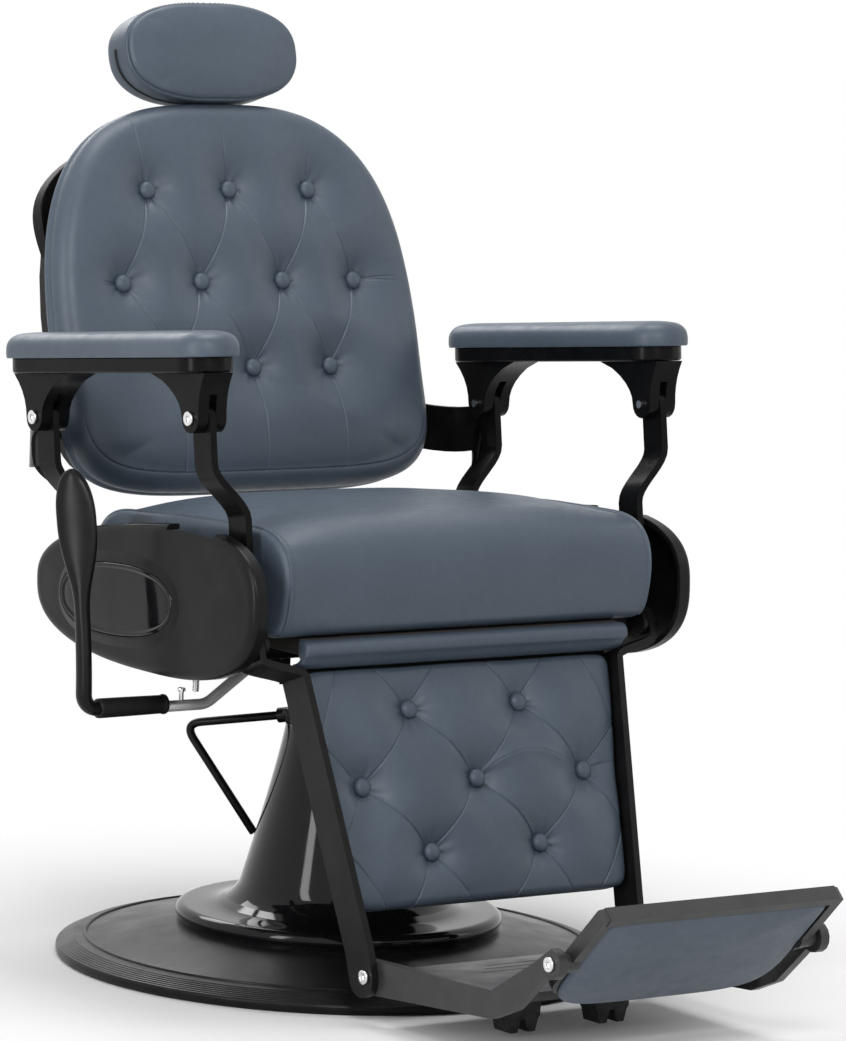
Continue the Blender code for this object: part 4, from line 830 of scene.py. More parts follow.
def make_tufted(body, matrix, verts, faces, creases, buttons, floor):
    """A pad with folds pressed into its face above a floor, and its covered buttons."""
    mesh = smooth_mesh(verts, faces)
    lines = [crease[0] for crease in creases]
    wide = near_lines(lines, buttons, fold_reach, floor)
    tight = near_lines(lines, [], line_reach, floor)
    refine(mesh, wide, wide, tight)
    press_folds(mesh, creases, buttons, floor)
    buttons_on(body + "_buttons", mesh, buttons, matrix, body)
    pad = dress(body + "_pad", mesh, body, "upholstery", (body + "_cushion",), 80, matrix)


# Back cushion
back_half_width = 0.2575
back_top, back_bottom = (0.325, 3.0), (0.147, 4.7)
back_depth = 0.050
back_buttons = [(u, 0.217) for u in (-0.115, 0.0, 0.115)]
back_buttons += [(u, 0.105) for u in (-0.165, -0.058, 0.058, 0.165)]
back_buttons += [(u, 0.0) for u in (-0.113, 0.0, 0.113)]


def back_face_height(u, v, edge):
    """Crowned face of the back, drawn in at the buttons."""
    crown = 0.014 * (1 - edge ** 2.4)
    return crown - dimples(u, v, back_buttons, 0.0180, 0.0235)


def back_seam():
    """The boxing seam above the lower edge of the back."""
    line = []
    inset, power = 0.022, back_bottom[1]
    for turn in range(-172, -7, 4):
        u, v = rounded_turn(math.radians(turn), power)
        line.append((u * (back_half_width - 0.012), v * (back_bottom[0] - inset)))
    return line


def back_creases():
    """Pleats between the buttons, up to the top edge and down to the boxing seam."""
    first, second, third = back_buttons[:3], back_buttons[3:7], back_buttons[7:]
    fold = 0.0009
    creases = []
    for button, lean, top in zip(first, (-0.014, -0.006, 0.004), (0.306, 0.300, 0.268)):
        creases.append((bowed(button, (button[0] + lean, top), 0.03), 0.0004, 0.005, fold, 0.0, 0.3))
    pairs = [(first[a], second[b]) for a, b in ((0, 0), (0, 1), (1, 1), (1, 2), (2, 2), (2, 3))]
    pairs += [(second[a], third[b]) for a, b in ((0, 0), (1, 0), (1, 1), (2, 1), (2, 2), (3, 2))]
    for upper, lower in pairs:
        creases.append((bowed(upper, lower, 0.010), 0.0006, 0.007, fold, 0.0, 0.0))
    for sign, button, reach in ((-1, second[0], 0.034), (1, second[3], 0.058)):
        for offset in (-0.003, 0.003):
            end = (button[0] + sign * reach, button[1] + offset)
            creases.append((bowed(button, end, 0.02), 0.0005, 0.004, fold, 0.0, 0.6))
    for button in third:
        line = bowed(button, (button[0] * 1.02, -0.124), 0.0)
        creases.append((line, 0.0003, 0.005, 0.0008, 0.0, 0.0))
    creases.append((back_seam(), 0.0003, 0.004, fold, 0.05, 0.05))
    return creases


def make_back():
    """Back cushion with pleats between its buttons and a boxing seam."""
    floor = -0.03
    verts, faces = cushion(76, 72, back_half_width, back_top, back_bottom, roll=0.024, depth=back_depth,
                           face=back_face_height, waist=0.004, rear_roll=0.012)
    held = button_holds(verts, back_buttons, reach=0.011, floor=floor) | (verts[:, 2] < -0.028)
    verts = swell(verts, faces, held, cap=0.008)
    make_tufted("back", BACK, verts, faces, back_creases(), back_buttons, floor)


# Legrest pad
legrest_top, legrest_length = 0.0325, 0.272
legrest_half_widths = (0.1890, 0.2150)
legrest_face = 0.0025
legrest_depth = 0.026
legrest_middle = legrest_length / 2
LEG_PAD = LEG @ Matrix.Translation((0, -(legrest_top + legrest_middle), legrest_face))
legrest_buttons = [(u, legrest_middle - 0.050) for u in (-0.077, 0.077)]
legrest_buttons += [(u, legrest_middle - 0.134) for u in (-0.155, 0.0, 0.155)]
legrest_buttons += [(u, legrest_middle - 0.213) for u in (-0.076, 0.076)]


def legrest_taper(v):
    """Width share at a height of the tapered pad."""
    low, high = legrest_half_widths
    return (low + (high - low) * (v + legrest_middle) / legrest_length) / high


def legrest_face_height(u, v, edge):
    """Crowned face of the legrest, drawn in at the buttons."""
    crown = 0.011 * (1 - edge ** 3)
    return crown - dimples(u, v, legrest_buttons, 0.0160, 0.0225)


def legrest_creases():
    """Diamond folds between the buttons that run on to the edges, and one slack fold."""
    half = legrest_middle
    top, middle, low = legrest_buttons[:2], legrest_buttons[2:5], legrest_buttons[5:]
    pairs = [(top[a], middle[b]) for a, b in ((0, 0), (0, 1), (1, 1), (1, 2))]
    pairs += [(middle[a], low[b]) for a, b in ((0, 0), (1, 0), (1, 1), (2, 1))]
    creases = [(bowed(start, end, 0.015), 0.0010, 0.008, 0.0012, 0.0, 0.0) for start, end in pairs]
    runs = []
    for row, reaches, edge in ((top, (0.118, 0.036), half), (low, (0.112, 0.030), -half)):
        runs += [(row[0], (-reach, edge)) for reach in reaches]
        runs += [(row[1], (reach, edge)) for reach in reaches[::-1]]
    for sign, button in ((-1, middle[0]), (1, middle[2])):
        upper, lower = (sign * 0.207, 0.055), (sign * 0.198, -0.062)
        runs += [(button, upper), (button, lower)]
        runs += [(upper, (sign * 0.172, half)), (lower, (sign * 0.150, -half))]
    creases += [(bowed(start, end, 0.015), 0.0007, 0.007, 0.0011, 0.0, 0.0) for start, end in runs]
    level = middle[1][1]
    slack = curve_through([(*middle[1], 0), (0.035, level + 0.020, 0), (0.085, level + 0.026, 0),
                           (*middle[2], 0)], 8)
    creases.append(([(p.x, p.y) for p in slack], -0.0018, 0.007, 0.0004, 0.25, 0.25))
    pull = bowed(middle[2], (0.200, middle[2][1] + 0.006), 0.05)
    creases.append((pull, 0.0010, 0.004, 0.0008, 0.0, 0.5))
    return creases


def make_legrest():
    """Legrest pad with diamond folds that run out to its edges."""
    half = legrest_middle
    edge = (half, 26.0)
    verts, faces = cushion(66, 44, legrest_half_widths[1], edge, edge, roll=0.009, depth=legrest_depth,
                           face=legrest_face_height, taper=legrest_taper, rear_roll=0.003)
    held = button_holds(verts, legrest_buttons, reach=0.010, floor=-0.016) | (verts[:, 2] < -0.010)
    verts = swell(verts, faces, held, cap=0.006)
    limit = legrest_half_widths[1] * legrest_taper(verts[:, 1])
    verts[:, 0] = np.clip(verts[:, 0], -limit, limit)
    verts[:, 1] = np.clip(verts[:, 1], -half, half)
    make_tufted("legrest", LEG_PAD, verts, faces, legrest_creases(), legrest_buttons, floor=-0.012)


# Headrest
headrest_middle = 0.3865
HEADREST = BACK @ Matrix.Translation((0, headrest_middle, 0))
headrest_half, headrest_rise, headrest_power = 0.122, 0.060, 2.5
headrest_depth = 0.056
headrest_drop = 0.002
headrest_seam = -0.0050


def headrest_edge(turn, level, out=0.0):
    """A point on the boxing of the headrest."""
    u, v = rounded_turn(turn, headrest_power)
    return (u * (headrest_half + out), v * (headrest_rise + out), level)


def make_headrest():
    """Oval pillow: a flat face panel seamed to a boxing band, with a zip in the band."""
    def height(u, v, edge):
        return 0.005 * (1 - edge ** 2.6)

    upper = (headrest_rise, headrest_power)
    lower = (headrest_rise + headrest_drop, headrest_power)
    verts, faces = cushion(44, 24, headrest_half, upper, lower, roll=0.0075, depth=headrest_depth,
                           face=height, rear_roll=0.010)
    verts = swell(verts, faces, verts[:, 2] < -0.040, cap=0.003)
    mesh = smooth_mesh(verts, faces)
    refine(mesh, lambda places: np.abs(places[:, 2] - headrest_seam) < 0.0045)
    groove(mesh, lambda co: co[:, 2] - headrest_seam, depth=0.0032, width=0.0015)
    row = [headrest_edge(math.radians(t), headrest_seam - 0.0035) for t in np.arange(0, 360, 2.2)]
    stitches("headrest_stitching", mesh, row, HEADREST, "headrest", length=0.0030, radius=0.00045)
    pad = dress("headrest_pad", mesh, "headrest", "upholstery", ("headrest_cushion",), 80, HEADREST)
    path = [headrest_edge(math.radians(t), -0.030, 0.0004) for t in range(177, 256, 3)]
    zip_part = rounded_tube(path, 0.0019, 12, 0.0006)
    piece("headrest_zip", zip_part, "headrest", "black_paint", matrix=HEADREST, material=MATTE)


# Seat
seat_half_width = 0.2575
seat_front, seat_rear = -0.2585, 0.168
seat_bottom, seat_top = 0.4195, 0.539
seat_crown, seat_middle_rise, seat_rear_fall, seat_corner_fall = 0.018, 0.004, 0.004, 0.009
seat_roll = 0.011
seat_seam_x = 0.2515


def corner_arcs(corners, steps):
    """A closed outline with rounded corners from (y, z, radius) triples."""
    points = []
    places = [Vector(corner[:2]) for corner in corners]
    for i, here in enumerate(places):
        after = places[(i + 1) % len(places)]
        points += rounded_corner(places[i - 1], here, after, corners[i][2], steps)
    return points


def resampled(points, count):
    """A closed outline with evenly spaced points."""
    loop = np.array([tuple(p) for p in points] + [tuple(points[0])])
    lengths = np.concatenate([[0], np.cumsum(np.linalg.norm(np.diff(loop, axis=0), axis=1))])
    wanted = np.linspace(0, lengths[-1], count, endpoint=False)
    return np.column_stack([np.interp(wanted, lengths, loop[:, k]) for k in range(loop.shape[1])])


def seat_section():
    """Side view of the seat as evenly spaced points."""
    corners = ((seat_rear - 0.012, seat_bottom, 0.004), (seat_rear, seat_top - 0.006, 0.074),
               (seat_front, seat_top, 0.070), (seat_front + 0.028, seat_bottom, 0.036))
    return resampled(corner_arcs(corners, 16), 168)


def seat_ring(section, x, inset):
    """The section at one place across the seat, drawn in towards its middle and lifted by the crown."""
    middle = section.mean(axis=0)
    share = min(abs(x) / seat_half_width, 1.0)
    depth = seat_rear - seat_front
    ring = []
    for place in section:
        away = place - middle
        y, z = middle + away * (1 - inset / np.linalg.norm(away))
        level = (place[1] - seat_bottom) / (seat_top - seat_bottom)
        along = (place[0] - seat_front) / depth
        rearward = ease((along - 0.45) / 0.50)
        halfway = math.sin(math.pi * min(max(along, 0.0), 1.0)) ** 2
        crown = seat_crown + seat_middle_rise * halfway - seat_rear_fall * rearward
        crown *= 1 - share ** (6 - 3 * rearward)
        crown -= seat_corner_fall * rearward * share ** 4
        ring.append((x, y, z + crown * max(level, 0.0) ** 1.5))
    return ring


def make_seat():
    """Thick seat with a full rounded front, boxed sides, and a stitched seam round each side panel."""
    section = seat_section()
    outer = np.array(seat_ring(section, seat_half_width, seat_roll))
    centre = outer.mean(axis=0)
    rings = []
    for scale, bulge in ((0.15, 0.0016), (0.40, 0.0016), (0.65, 0.0013), (0.85, 0.0007), (0.95, 0.0002)):
        ring = centre + (outer - centre) * scale
        ring[:, 0] = outer[:, 0] + bulge
        rings.append([tuple(p) for p in ring])
    for turn in (12, 30, 48, 66, 82):
        a = math.radians(turn)
        x = seat_half_width - seat_roll * (1 - math.cos(a))
        rings.append(seat_ring(section, x, seat_roll * (1 - math.sin(a))))
    flat = seat_half_width - seat_roll
    inner = [seat_ring(section, x, 0.0) for x in np.linspace(flat, -flat, 64)]
    mirrored = [[(-x, y, z) for x, y, z in ring] for ring in rings[::-1]]
    verts, faces = loft(rings + inner + mirrored)
    verts = np.array([tuple(v) for v in verts])
    held = (verts[:, 2] < seat_bottom + 0.012) | (np.abs(verts[:, 0]) > seat_half_width - 0.009)
    verts = swell(verts, faces, held, cap=0.006)
    mesh = smooth_mesh(verts, faces)

    def near(places):
        beside = np.abs(np.abs(places[:, 0]) - seat_seam_x) < 0.006
        return beside & (places[:, 2] > seat_bottom + 0.004)

    refine(mesh, near, near)
    groove(mesh, lambda co: np.abs(co[:, 0]) - seat_seam_x, depth=0.0018, width=0.0010,
           keep=lambda co: co[:, 2] > seat_bottom + 0.006)
    targets = [(y, z) for y, z in resampled(section, 120) if z > seat_bottom + 0.008 and y < seat_rear - 0.03]
    for side, sign in SIDES:
        row = [(sign * (seat_seam_x - 0.0055), y, z) for y, z in targets]
        stitches("seat_stitching_" + side, mesh, row, HERE, "seat")
    pad = dress("seat_pad", mesh, "seat", "upholstery", ("seat_cushion",), 80)


# Arm pads
def stadium(reach, radius, shift, steps=20):
    """A closed outline with round ends, along u."""
    points = []
    for sense in (1, -1):
        for k in range(steps + 1):
            turn = -math.pi / 2 + math.pi * k / steps
            u = shift + sense * (reach + radius * math.cos(turn))
            points.append((u, sense * radius * math.sin(turn)))
    return points


arm_pad_length, arm_pad_width, arm_pad_thickness = 0.4235, 0.076, 0.028
arm_pad_floor = 0.0693
arm_pad_shift = -0.006


def make_arm_pad(side, sign):
    """Crowned round-ended pad whose foot wraps the edge of its plate."""
    half = arm_pad_width / 2
    reach = arm_pad_length / 2 - half
    profile = ((0.0038, 0.0), (0.0034, -0.05), (0.0018, -0.06), (0.0005, -0.03), (0.0001, 0.06), (0.0, 0.22),
               (0.0003, 0.40), (0.0014, 0.55), (0.0036, 0.69), (0.0068, 0.80), (0.0108, 0.885), (0.016, 0.94),
               (0.023, 0.978), (0.030, 0.995), (0.0365, 1.0))
    rings = []
    for inset, share in profile:
        outline = resampled(stadium(reach, half - inset, arm_pad_shift), 120)
        rings.append([(u, v, arm_pad_floor + arm_pad_thickness * share) for u, v in outline])
    pad = dress("arm_pad_cover_" + side, smooth_mesh(*loft(rings)), "arm_" + side, "upholstery",
                ("arm_pad_" + side,), 60, arm_axes(sign))


# Apron roll under the seat front
apron_lip_radius, apron_lip_thickness = 0.0300, 0.005
apron_half_width = 0.2250


def apron_section():
    """Side view of the apron: a roll above a lip that curls under, just clear of the swinging legrest."""
    roll = curve_through([(-0.2195, 0.4176, 0), (-0.2290, 0.4181, 0), (-0.2360, 0.4152, 0),
                          (-0.2388, 0.4095, 0), (-0.2375, 0.4030, 0), (-0.2330, 0.3988, 0)], 5)
    points = [(p.x, p.y) for p in roll]
    lip_inner = apron_lip_radius - apron_lip_thickness
    for radius, turns in ((apron_lip_radius, range(34, 87, 6)), (lip_inner, range(84, 41, -7))):
        points += arc(legrest_pivot.yz, turns, -radius, -radius)
    return points + [(-0.2198, 0.4015)]


def make_apron():
    """Padded strip under the seat front with rounded ends."""
    section = np.array(apron_section())
    middle = section.mean(axis=0)
    half = apron_half_width
    end_length, end_scale = 0.0045, 0.86
    places = []
    for back in (0.0, 0.0010, 0.0025, end_length):
        round_off = math.sqrt(1 - (1 - back / end_length) ** 2)
        places.append((half - back, end_scale + (1 - end_scale) * round_off))
    places += [(x, 1.0) for x in np.linspace(half - 0.010, 0.010 - half, 40)]
    places += [(-x, scale) for x, scale in places[3::-1]]
    rings = []
    for x, scale in places:
        rings.append([(x, *(middle + (place - middle) * scale)) for place in section])
    pad = piece("apron_pad", loft(rings), "seat", "upholstery", ("apron_roll",), 60)


# Black sheet behind the legrest hinge, painted shade under the apron
def make_shade_sheet():
    """Thin black sheet hanging from the seat frame behind the legrest, painted shade that darkens the gap
    under the apron.
    """
    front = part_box("legrest_board")[1].y + 0.003
    half, thick, steps = 0.228, 0.0012, 32
    top, middle, foot, hem = 0.3846, 0.374, 0.3645, 0.0007
    rings = []
    for step in range(steps + 1):
        x = -half + 2 * half * step / steps
        wavy = front + 0.0006 * math.sin(step * 1.9)
        outline = [(front, top), (wavy, middle), (wavy, foot + hem), (wavy + thick / 2, foot),
                   (wavy + thick, foot + hem), (wavy + thick, middle), (front + thick, top)]
        rings.append([(x, y, z) for y, z in outline])
    # A matte black sheet: painted shade in the gap between the apron and the legrest.
    piece("seat_shade_sheet", loft(rings), "seat", "black_paint", material=MATTE)


# Footrest pad
panel_above, panel_below, panel_trim = 0.086, 0.0805, 0.012
panel_half_width = 0.157
tray_front = 0.0008


def make_footrest_pad():
    """Slim crowned pad in the footrest tray, bowed along its lower edge."""
    def height(u, v, edge):
        return 0.0055 + 0.0062 * (1 - edge ** 2.5)

    top = (panel_above - panel_trim - 0.0006, 34.0)
    bottom = (panel_below + 0.003, 4.6)
    verts, faces = cushion(56, 28, panel_half_width - 0.0070, top, bottom, roll=0.0045, depth=0.0,
                           face=height, rear_roll=0.0005)
    verts[:, 2] = np.maximum(verts[:, 2], 0.0002)
    matrix = PANEL @ Matrix.Translation((0, 0, tray_front))
    pad = dress("footrest_cushion", smooth_mesh(verts, faces), "footrest", "upholstery",
                ("footrest_pad",), 70, matrix)


make_back()
make_legrest()
make_headrest()
make_seat()
for side, sign in SIDES:
    make_arm_pad(side, sign)
make_apron()
make_shade_sheet()
make_footrest_pad()


# Metalwork
base_radius, base_rim, base_crown = 0.330, 0.021, 0.044


def base_profile():
    """Outline of the weighted base: a rolled rim with fine steps, a bead, and a smooth rise to the column."""
    r, h = base_radius, base_rim
    points = [(0, 0), (r - 0.007, 0), (r - 0.0025, 0.0012), (r - 0.0006, 0.004), (r, 0.0075), (r, h * 0.45)]
    for step in range(7):
        out = r - 0.0012 - step * 0.0030
        level = h * 0.56 + step * 0.0015
        points += [(out, level), (out - 0.0005, level + 0.0005), (out - 0.0017, level + 0.0009),
                   (out - 0.0024, level + 0.0010)]
    ledge = points[-1][1]
    bead = r - 0.034
    points += arc((bead, ledge + 0.0012), range(0, 181, 30), 0.0022, 0.0022)
    foot = (bead - 0.0035, ledge + 0.0016)
    reach = foot[0] - 0.1895
    for step in range(0, 15):
        share = step / 14
        rise = 0.62 * share + 0.38 * math.sin(share * math.pi / 2)
        points.append((foot[0] - reach * share, foot[1] + (base_crown - foot[1]) * rise))
    return points + [(0, base_crown)]


def skirt_profile():
    """Outline of the gloss column cover: a round-edged flange that sweeps up into the column."""
    floor, radius, waist, neck, bore, top = 0.0443, 0.1915, 0.1175, 0.070, 0.0466, 0.278
    flange_height = 0.0205
    flange, sweep = floor + flange_height, floor + 0.045
    edge = flange_height / 2
    points = [(radius - 0.003, floor)]
    points += arc((radius - edge, floor + edge), range(-40, 81, 8), edge, edge * 0.9)
    start = points[-1]
    reach = start[0] - waist
    for step in range(1, 25):
        share = step / 24
        rise = 0.04 * share + 0.96 * share ** 4.5
        points.append((start[0] - reach * share, start[1] + (sweep - start[1]) * rise))
    fall = waist - neck
    for step in range(1, 25):
        share = step / 24
        points.append((neck + fall * (1 - share) ** 1.15, sweep + (top - sweep) * share))
    points += [(neck - 0.0012, top + 0.0004), (bore, top + 0.0004)]
    points += [(bore, top - 0.004), (neck - 0.006, top - 0.004)]
    points += [(waist - 0.010, sweep - 0.006), (radius - 0.030, flange - 0.006)]
    return points + [(radius - edge, floor + edge), (radius - edge, floor)]


def solid_of_revolution(name, profile, slot, node, sharp):
    """A turned piece that stands for a node. A profile that starts off the axis is closed on itself."""
    rings = lathe_rings(profile, 160)
    part = loft(rings) if profile[0][0] == 0 else closed_loft(rings)
    piece(name, part, "base", slot, (node,), sharp)


edge_bevel, edge_angle = 0.0012, math.radians(32.0)
flat_angle, weld_distance = math.radians(1.0), 2e-5


def rework(node, material=None):
    """A node's own shape with clean faces and softened edges."""
    mesh = nodes[node].data.copy()
    mesh.name = node + "_finish"
    with edited(mesh) as shape:
        bmesh.ops.remove_doubles(shape, verts=shape.verts, dist=weld_distance)
        bmesh.ops.dissolve_limit(shape, angle_limit=flat_angle, verts=shape.verts, edges=shape.edges)
        edges = [e for e in shape.edges if len(e.link_faces) == 2 and e.calc_face_angle(0) > edge_angle]
        bmesh.ops.bevel(shape, geom=edges, offset=edge_bevel, offset_type="OFFSET", segments=2, profile=0.5,
                        affect="EDGES", clamp_overlap=True)
    if "custom_normal" in mesh.attributes:
        mesh.attributes.remove(mesh.attributes["custom_normal"])
    made = dress(node + "_finish", mesh, node_body[node], node_slot[node], (node,), 40, material=material)
    made.modifiers.new("flat_faces", "WEIGHTED_NORMAL").keep_sharp = True


solid_of_revolution("base_disc", base_profile(), "black_paint", "base_plate", 25)
solid_of_revolution("column_cover", skirt_profile(), "gloss_black", "column_skirt", 40)

# Lever, lock bar and screws
lever_height = 0.313
lever_pivot = Vector((-0.105, 0.0, 0.366))
lever_knees = (-0.140, -0.198)
sleeve_ends, sleeve_rise = (-0.254, -0.346), 0.003
grip_x, grip_top, grip_lean = -0.364, 0.585, 0.040
grip_half_width, grip_half_thickness = 0.024, 0.007
stem_half_width, stem_half_thickness = 0.011, 0.0085
lock_heading = math.radians(125)
lock_places = ((0.0745, 0.2825), (0.203, 0.2606), (0.1095, 0.1385))
lock_bend, lock_radius = 0.014, 0.005
lever_bend, lever_radius = 0.030, 0.0065
eye_radius, eye_reach = 0.004, 0.0155


def make_lock_bar():
    """Bent round bar beside the column."""
    c, s = math.cos(lock_heading), math.sin(lock_heading)
    corners = [(r * c, r * s, z) for r, z in lock_places]
    bar = rounded_tube(rounded_path(corners, lock_bend, 16), lock_radius)
    piece("lock_bar", bar, "lock", "black_paint", ("swivel_lock_bar",))


def make_lever():
    """Bright rod with a cross pin, and a black sleeve with a rolled edge."""
    x, y, z = lever_pivot
    corners = [(x, y, z), (lever_knees[0], y, z - 0.014), (lever_knees[1], y, lever_height),
               (sleeve_ends[0] - 0.010, y, lever_height)]
    rod = rounded_tube(rounded_path(corners, lever_bend, 14), lever_radius, 28)
    eye = rounded_tube([(x, y - eye_reach, z), (x, y + eye_reach, z)], eye_radius, 20, 0.0006)
    piece("lever_shaft", joined([rod, eye]), "lever", "polished_steel", ("lever_rod",), material=SATIN_STEEL)
    middle = lever_height + sleeve_rise
    run = sleeve_ends[0] - sleeve_ends[1]
    rings = []
    for share, radius in ((0, 0.0098), (0.008, 0.0113), (0.03, 0.0117), (0.05, 0.0113), (0.06, 0.0107),
                          (0.09, 0.0107), (0.5, 0.0111), (0.96, 0.0114), (0.99, 0.0111), (1.0, 0.0102)):
        here = (sleeve_ends[0] - run * share, 0, middle)
        rings += tube_rings([here, (sleeve_ends[1] - run, 0, middle)], radius, 28)[:1]
    piece("lever_sleeve_cover", loft(rings), "lever", "black_paint", ("lever_sleeve",), material=MATTE)


def make_grip():
    """Stem that bends up from the sleeve and twists into a flat paddle."""
    foot = lever_height + sleeve_rise
    start = sleeve_ends[1] - 0.0003
    radius = start - grip_x
    rings = []
    for step in range(9):
        turn = step / 8 * math.pi / 2
        centre = Vector((start - radius * math.sin(turn), 0, foot + radius * (1 - math.cos(turn))))
        outward = Vector((math.sin(turn), 0, math.cos(turn)))
        rings.append(oval(centre, Vector((0, 1, 0)), outward, stem_half_width, stem_half_thickness))
    low = foot + radius
    shares = list(np.linspace(0.03, 0.9, 36)) + [0.92, 0.94, 0.955, 0.97, 0.98, 0.988, 0.994, 0.998, 1.0]
    for share in shares:
        twist = math.radians(38) * ease((share - 0.2) / 0.4)
        across = Vector((-math.sin(twist), math.cos(twist), 0))
        along = Vector((math.cos(twist), math.sin(twist), 0))
        wide = stem_half_width + (grip_half_width - stem_half_width) * ease((share - 0.35) / 0.4)
        waist = 1 - 0.16 * math.exp(-((share - 0.42) / 0.13) ** 2)
        end = math.sqrt(max(1 - max((share - 0.8) / 0.2005, 0.0) ** 2, 0.004))
        thick = stem_half_thickness + (grip_half_thickness - stem_half_thickness) * share
        centre = Vector((grip_x, grip_lean * share ** 1.5, low + (grip_top - low) * share))
        rings.append(oval(centre, across, along, wide * waist * end, thick * min(1.0, 0.35 + end)))
    piece("grip", loft(rings), "lever", "black_paint", ("lever_grip",))


def hexagon(radius, level, sides):
    """A level ring of points on a hexagon round the axis."""
    ring = []
    for x, y, z in circle(radius, level, sides):
        turn = math.atan2(y, x)
        reach = math.cos(math.pi / 6) / math.cos(turn % (math.pi / 3) - math.pi / 6)
        ring.append((x * reach, y * reach, z))
    return ring


def socket_screw(head_radius, head_height, shank_radius, shank_length, socket=0.5, sides=36):
    """A screw along w, its head's top at zero: a chamfered head with a hexagon socket on a plain shank."""
    inner = head_radius * socket
    ends = (-head_height - shank_length, -head_height)
    rings = [circle(shank_radius, level, sides) for level in ends]
    for wide, deep in ((0.97, 1.0), (1.0, 0.85), (1.0, 0.35), (0.95, 0.12), (0.84, 0.0)):
        rings.append(circle(head_radius * wide, -head_height * deep, sides))
    rings.append(circle(inner * 1.18, 0.0, sides))
    for wide, deep in ((1.05, 0.06), (1.0, 0.15), (0.97, 0.8)):
        rings.append(hexagon(inner * wide, -head_height * deep, sides))
    rings.append(circle(inner * 0.3, -head_height * 0.9, sides))
    return loft(rings)


def make_pin(node):
    """A pivot screw along X, with its head outward."""
    low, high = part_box(node)
    sign = 1.0 if low.x + high.x > 0 else -1.0
    outer = max(abs(low.x), abs(high.x))
    middle = (low + high) / 2
    head = (high.y - low.y) / 2
    head_height = 0.0035
    matrix = axes((sign * outer, middle.y, middle.z), (0, 1, 0), (0, 0, sign), (sign, 0, 0))
    screw = socket_screw(head, head_height, head * 0.55, high.x - low.x - head_height)
    piece(node + "_finish", screw, node_body[node], node_slot[node], (node,), 30, matrix)


def make_stop_bolt():
    """Threaded bolt that hangs below the side plate."""
    low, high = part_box("stop_bolt")
    middle = (low + high) / 2
    radius = (high.x - low.x) / 2 / 1.9
    profile = [(0, low.z), (radius * 0.7, low.z)]
    pitch = 0.0013
    level = low.z + 0.0006
    while level < high.z - 0.006:
        for wide, rise in ((0.99, 0.0), (0.99, 0.15), (0.84, 0.5), (0.84, 0.6)):
            profile.append((radius * wide, level + pitch * rise))
        level += pitch
    for wide, below in ((1.0, 0.0045), (1.85, 0.004), (1.9, 0.0035), (1.9, 0.0), (0.0, 0.0)):
        profile.append((radius * wide, high.z - below))
    bolt = loft(lathe_rings(profile, 24))
    piece("stop_bolt_finish", bolt, "seat", "polished_steel", ("stop_bolt",), 40,
          Matrix.Translation((middle.x, middle.y, 0)))


def make_clamp_screw():
    """Small upright screw beside the sleeve."""
    low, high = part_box("clamp_screw")
    middle = (low + high) / 2
    head, head_height = (high.x - low.x) / 2, 0.004
    screw = socket_screw(head, head_height, head / 1.7, high.z - low.z - head_height, 0.55)
    piece("clamp_screw_finish", screw, "lever", "polished_steel", ("clamp_screw",), 30,
          Matrix.Translation((middle.x, middle.y, high.z)))


# Side covers and badges
cover_length, cover_half_height, cover_roundness, cover_taper = 0.455, 0.0895, 2.6, 0.16
cover_upper = 0.88
cover_outer, cover_inner = 0.311, 0.289
cover_edge, cover_dome = (0.016, 0.0085), 0.0030
cover_wall = 0.004
post_places, post_foot, post_radius = (-0.030, 0.090), 0.2693, 0.007
post_level = -0.030
notch_y, notch_depth = (-0.165, -0.070), 0.0178
badge_half_length, badge_half_height, badge_roundness = 0.116, 0.0415, 2.3
badge_start = cover_outer + 0.0003


def egg(length, half_height, roundness, taper, inset=0.0, upper=1.0, steps=160):
    """A rounded outline whose front end is fuller than its rear, and whose upper half may be flatter."""
    points = []
    for i in range(steps):
        u, v = rounded_turn(2 * math.pi * i / steps, roundness)
        share = upper if v > 0 else 1.0
        points.append((u * (length / 2 - inset), v * (half_height * share * (1 + taper * u) - inset)))
    return points


def cover_ring(inset, level):
    """The cover's outline, drawn in, at a distance from the middle of the chair."""
    outline = egg(cover_length, cover_half_height, cover_roundness, cover_taper, inset, cover_upper)
    return [(u, v, level) for u, v in outline]


def cut_away(part, cutter):
    """The mesh of a closed shape with another closed shape taken out of it."""
    made = []
    for name, shape in (("cut", part), ("cutter", cutter)):
        mesh = mesh_of(name, shape)
        with edited(mesh) as open_mesh:
            bmesh.ops.recalc_face_normals(open_mesh, faces=open_mesh.faces)
        made.append(linked(name, mesh))
    made[0].modifiers.new("cut", "BOOLEAN").object = made[1]
    result = bpy.data.meshes.new_from_object(made[0].evaluated_get(bpy.context.evaluated_depsgraph_get()))
    for shape in made:
        bpy.data.objects.remove(shape)
    return result


def box_part(low, high):
    """The points and faces of a box."""
    corners = ((low[0], low[1]), (high[0], low[1]), (high[0], high[1]), (low[0], high[1]))
    return loft([[(x, y, z) for x, y in corners] for z in (low[2], high[2])])


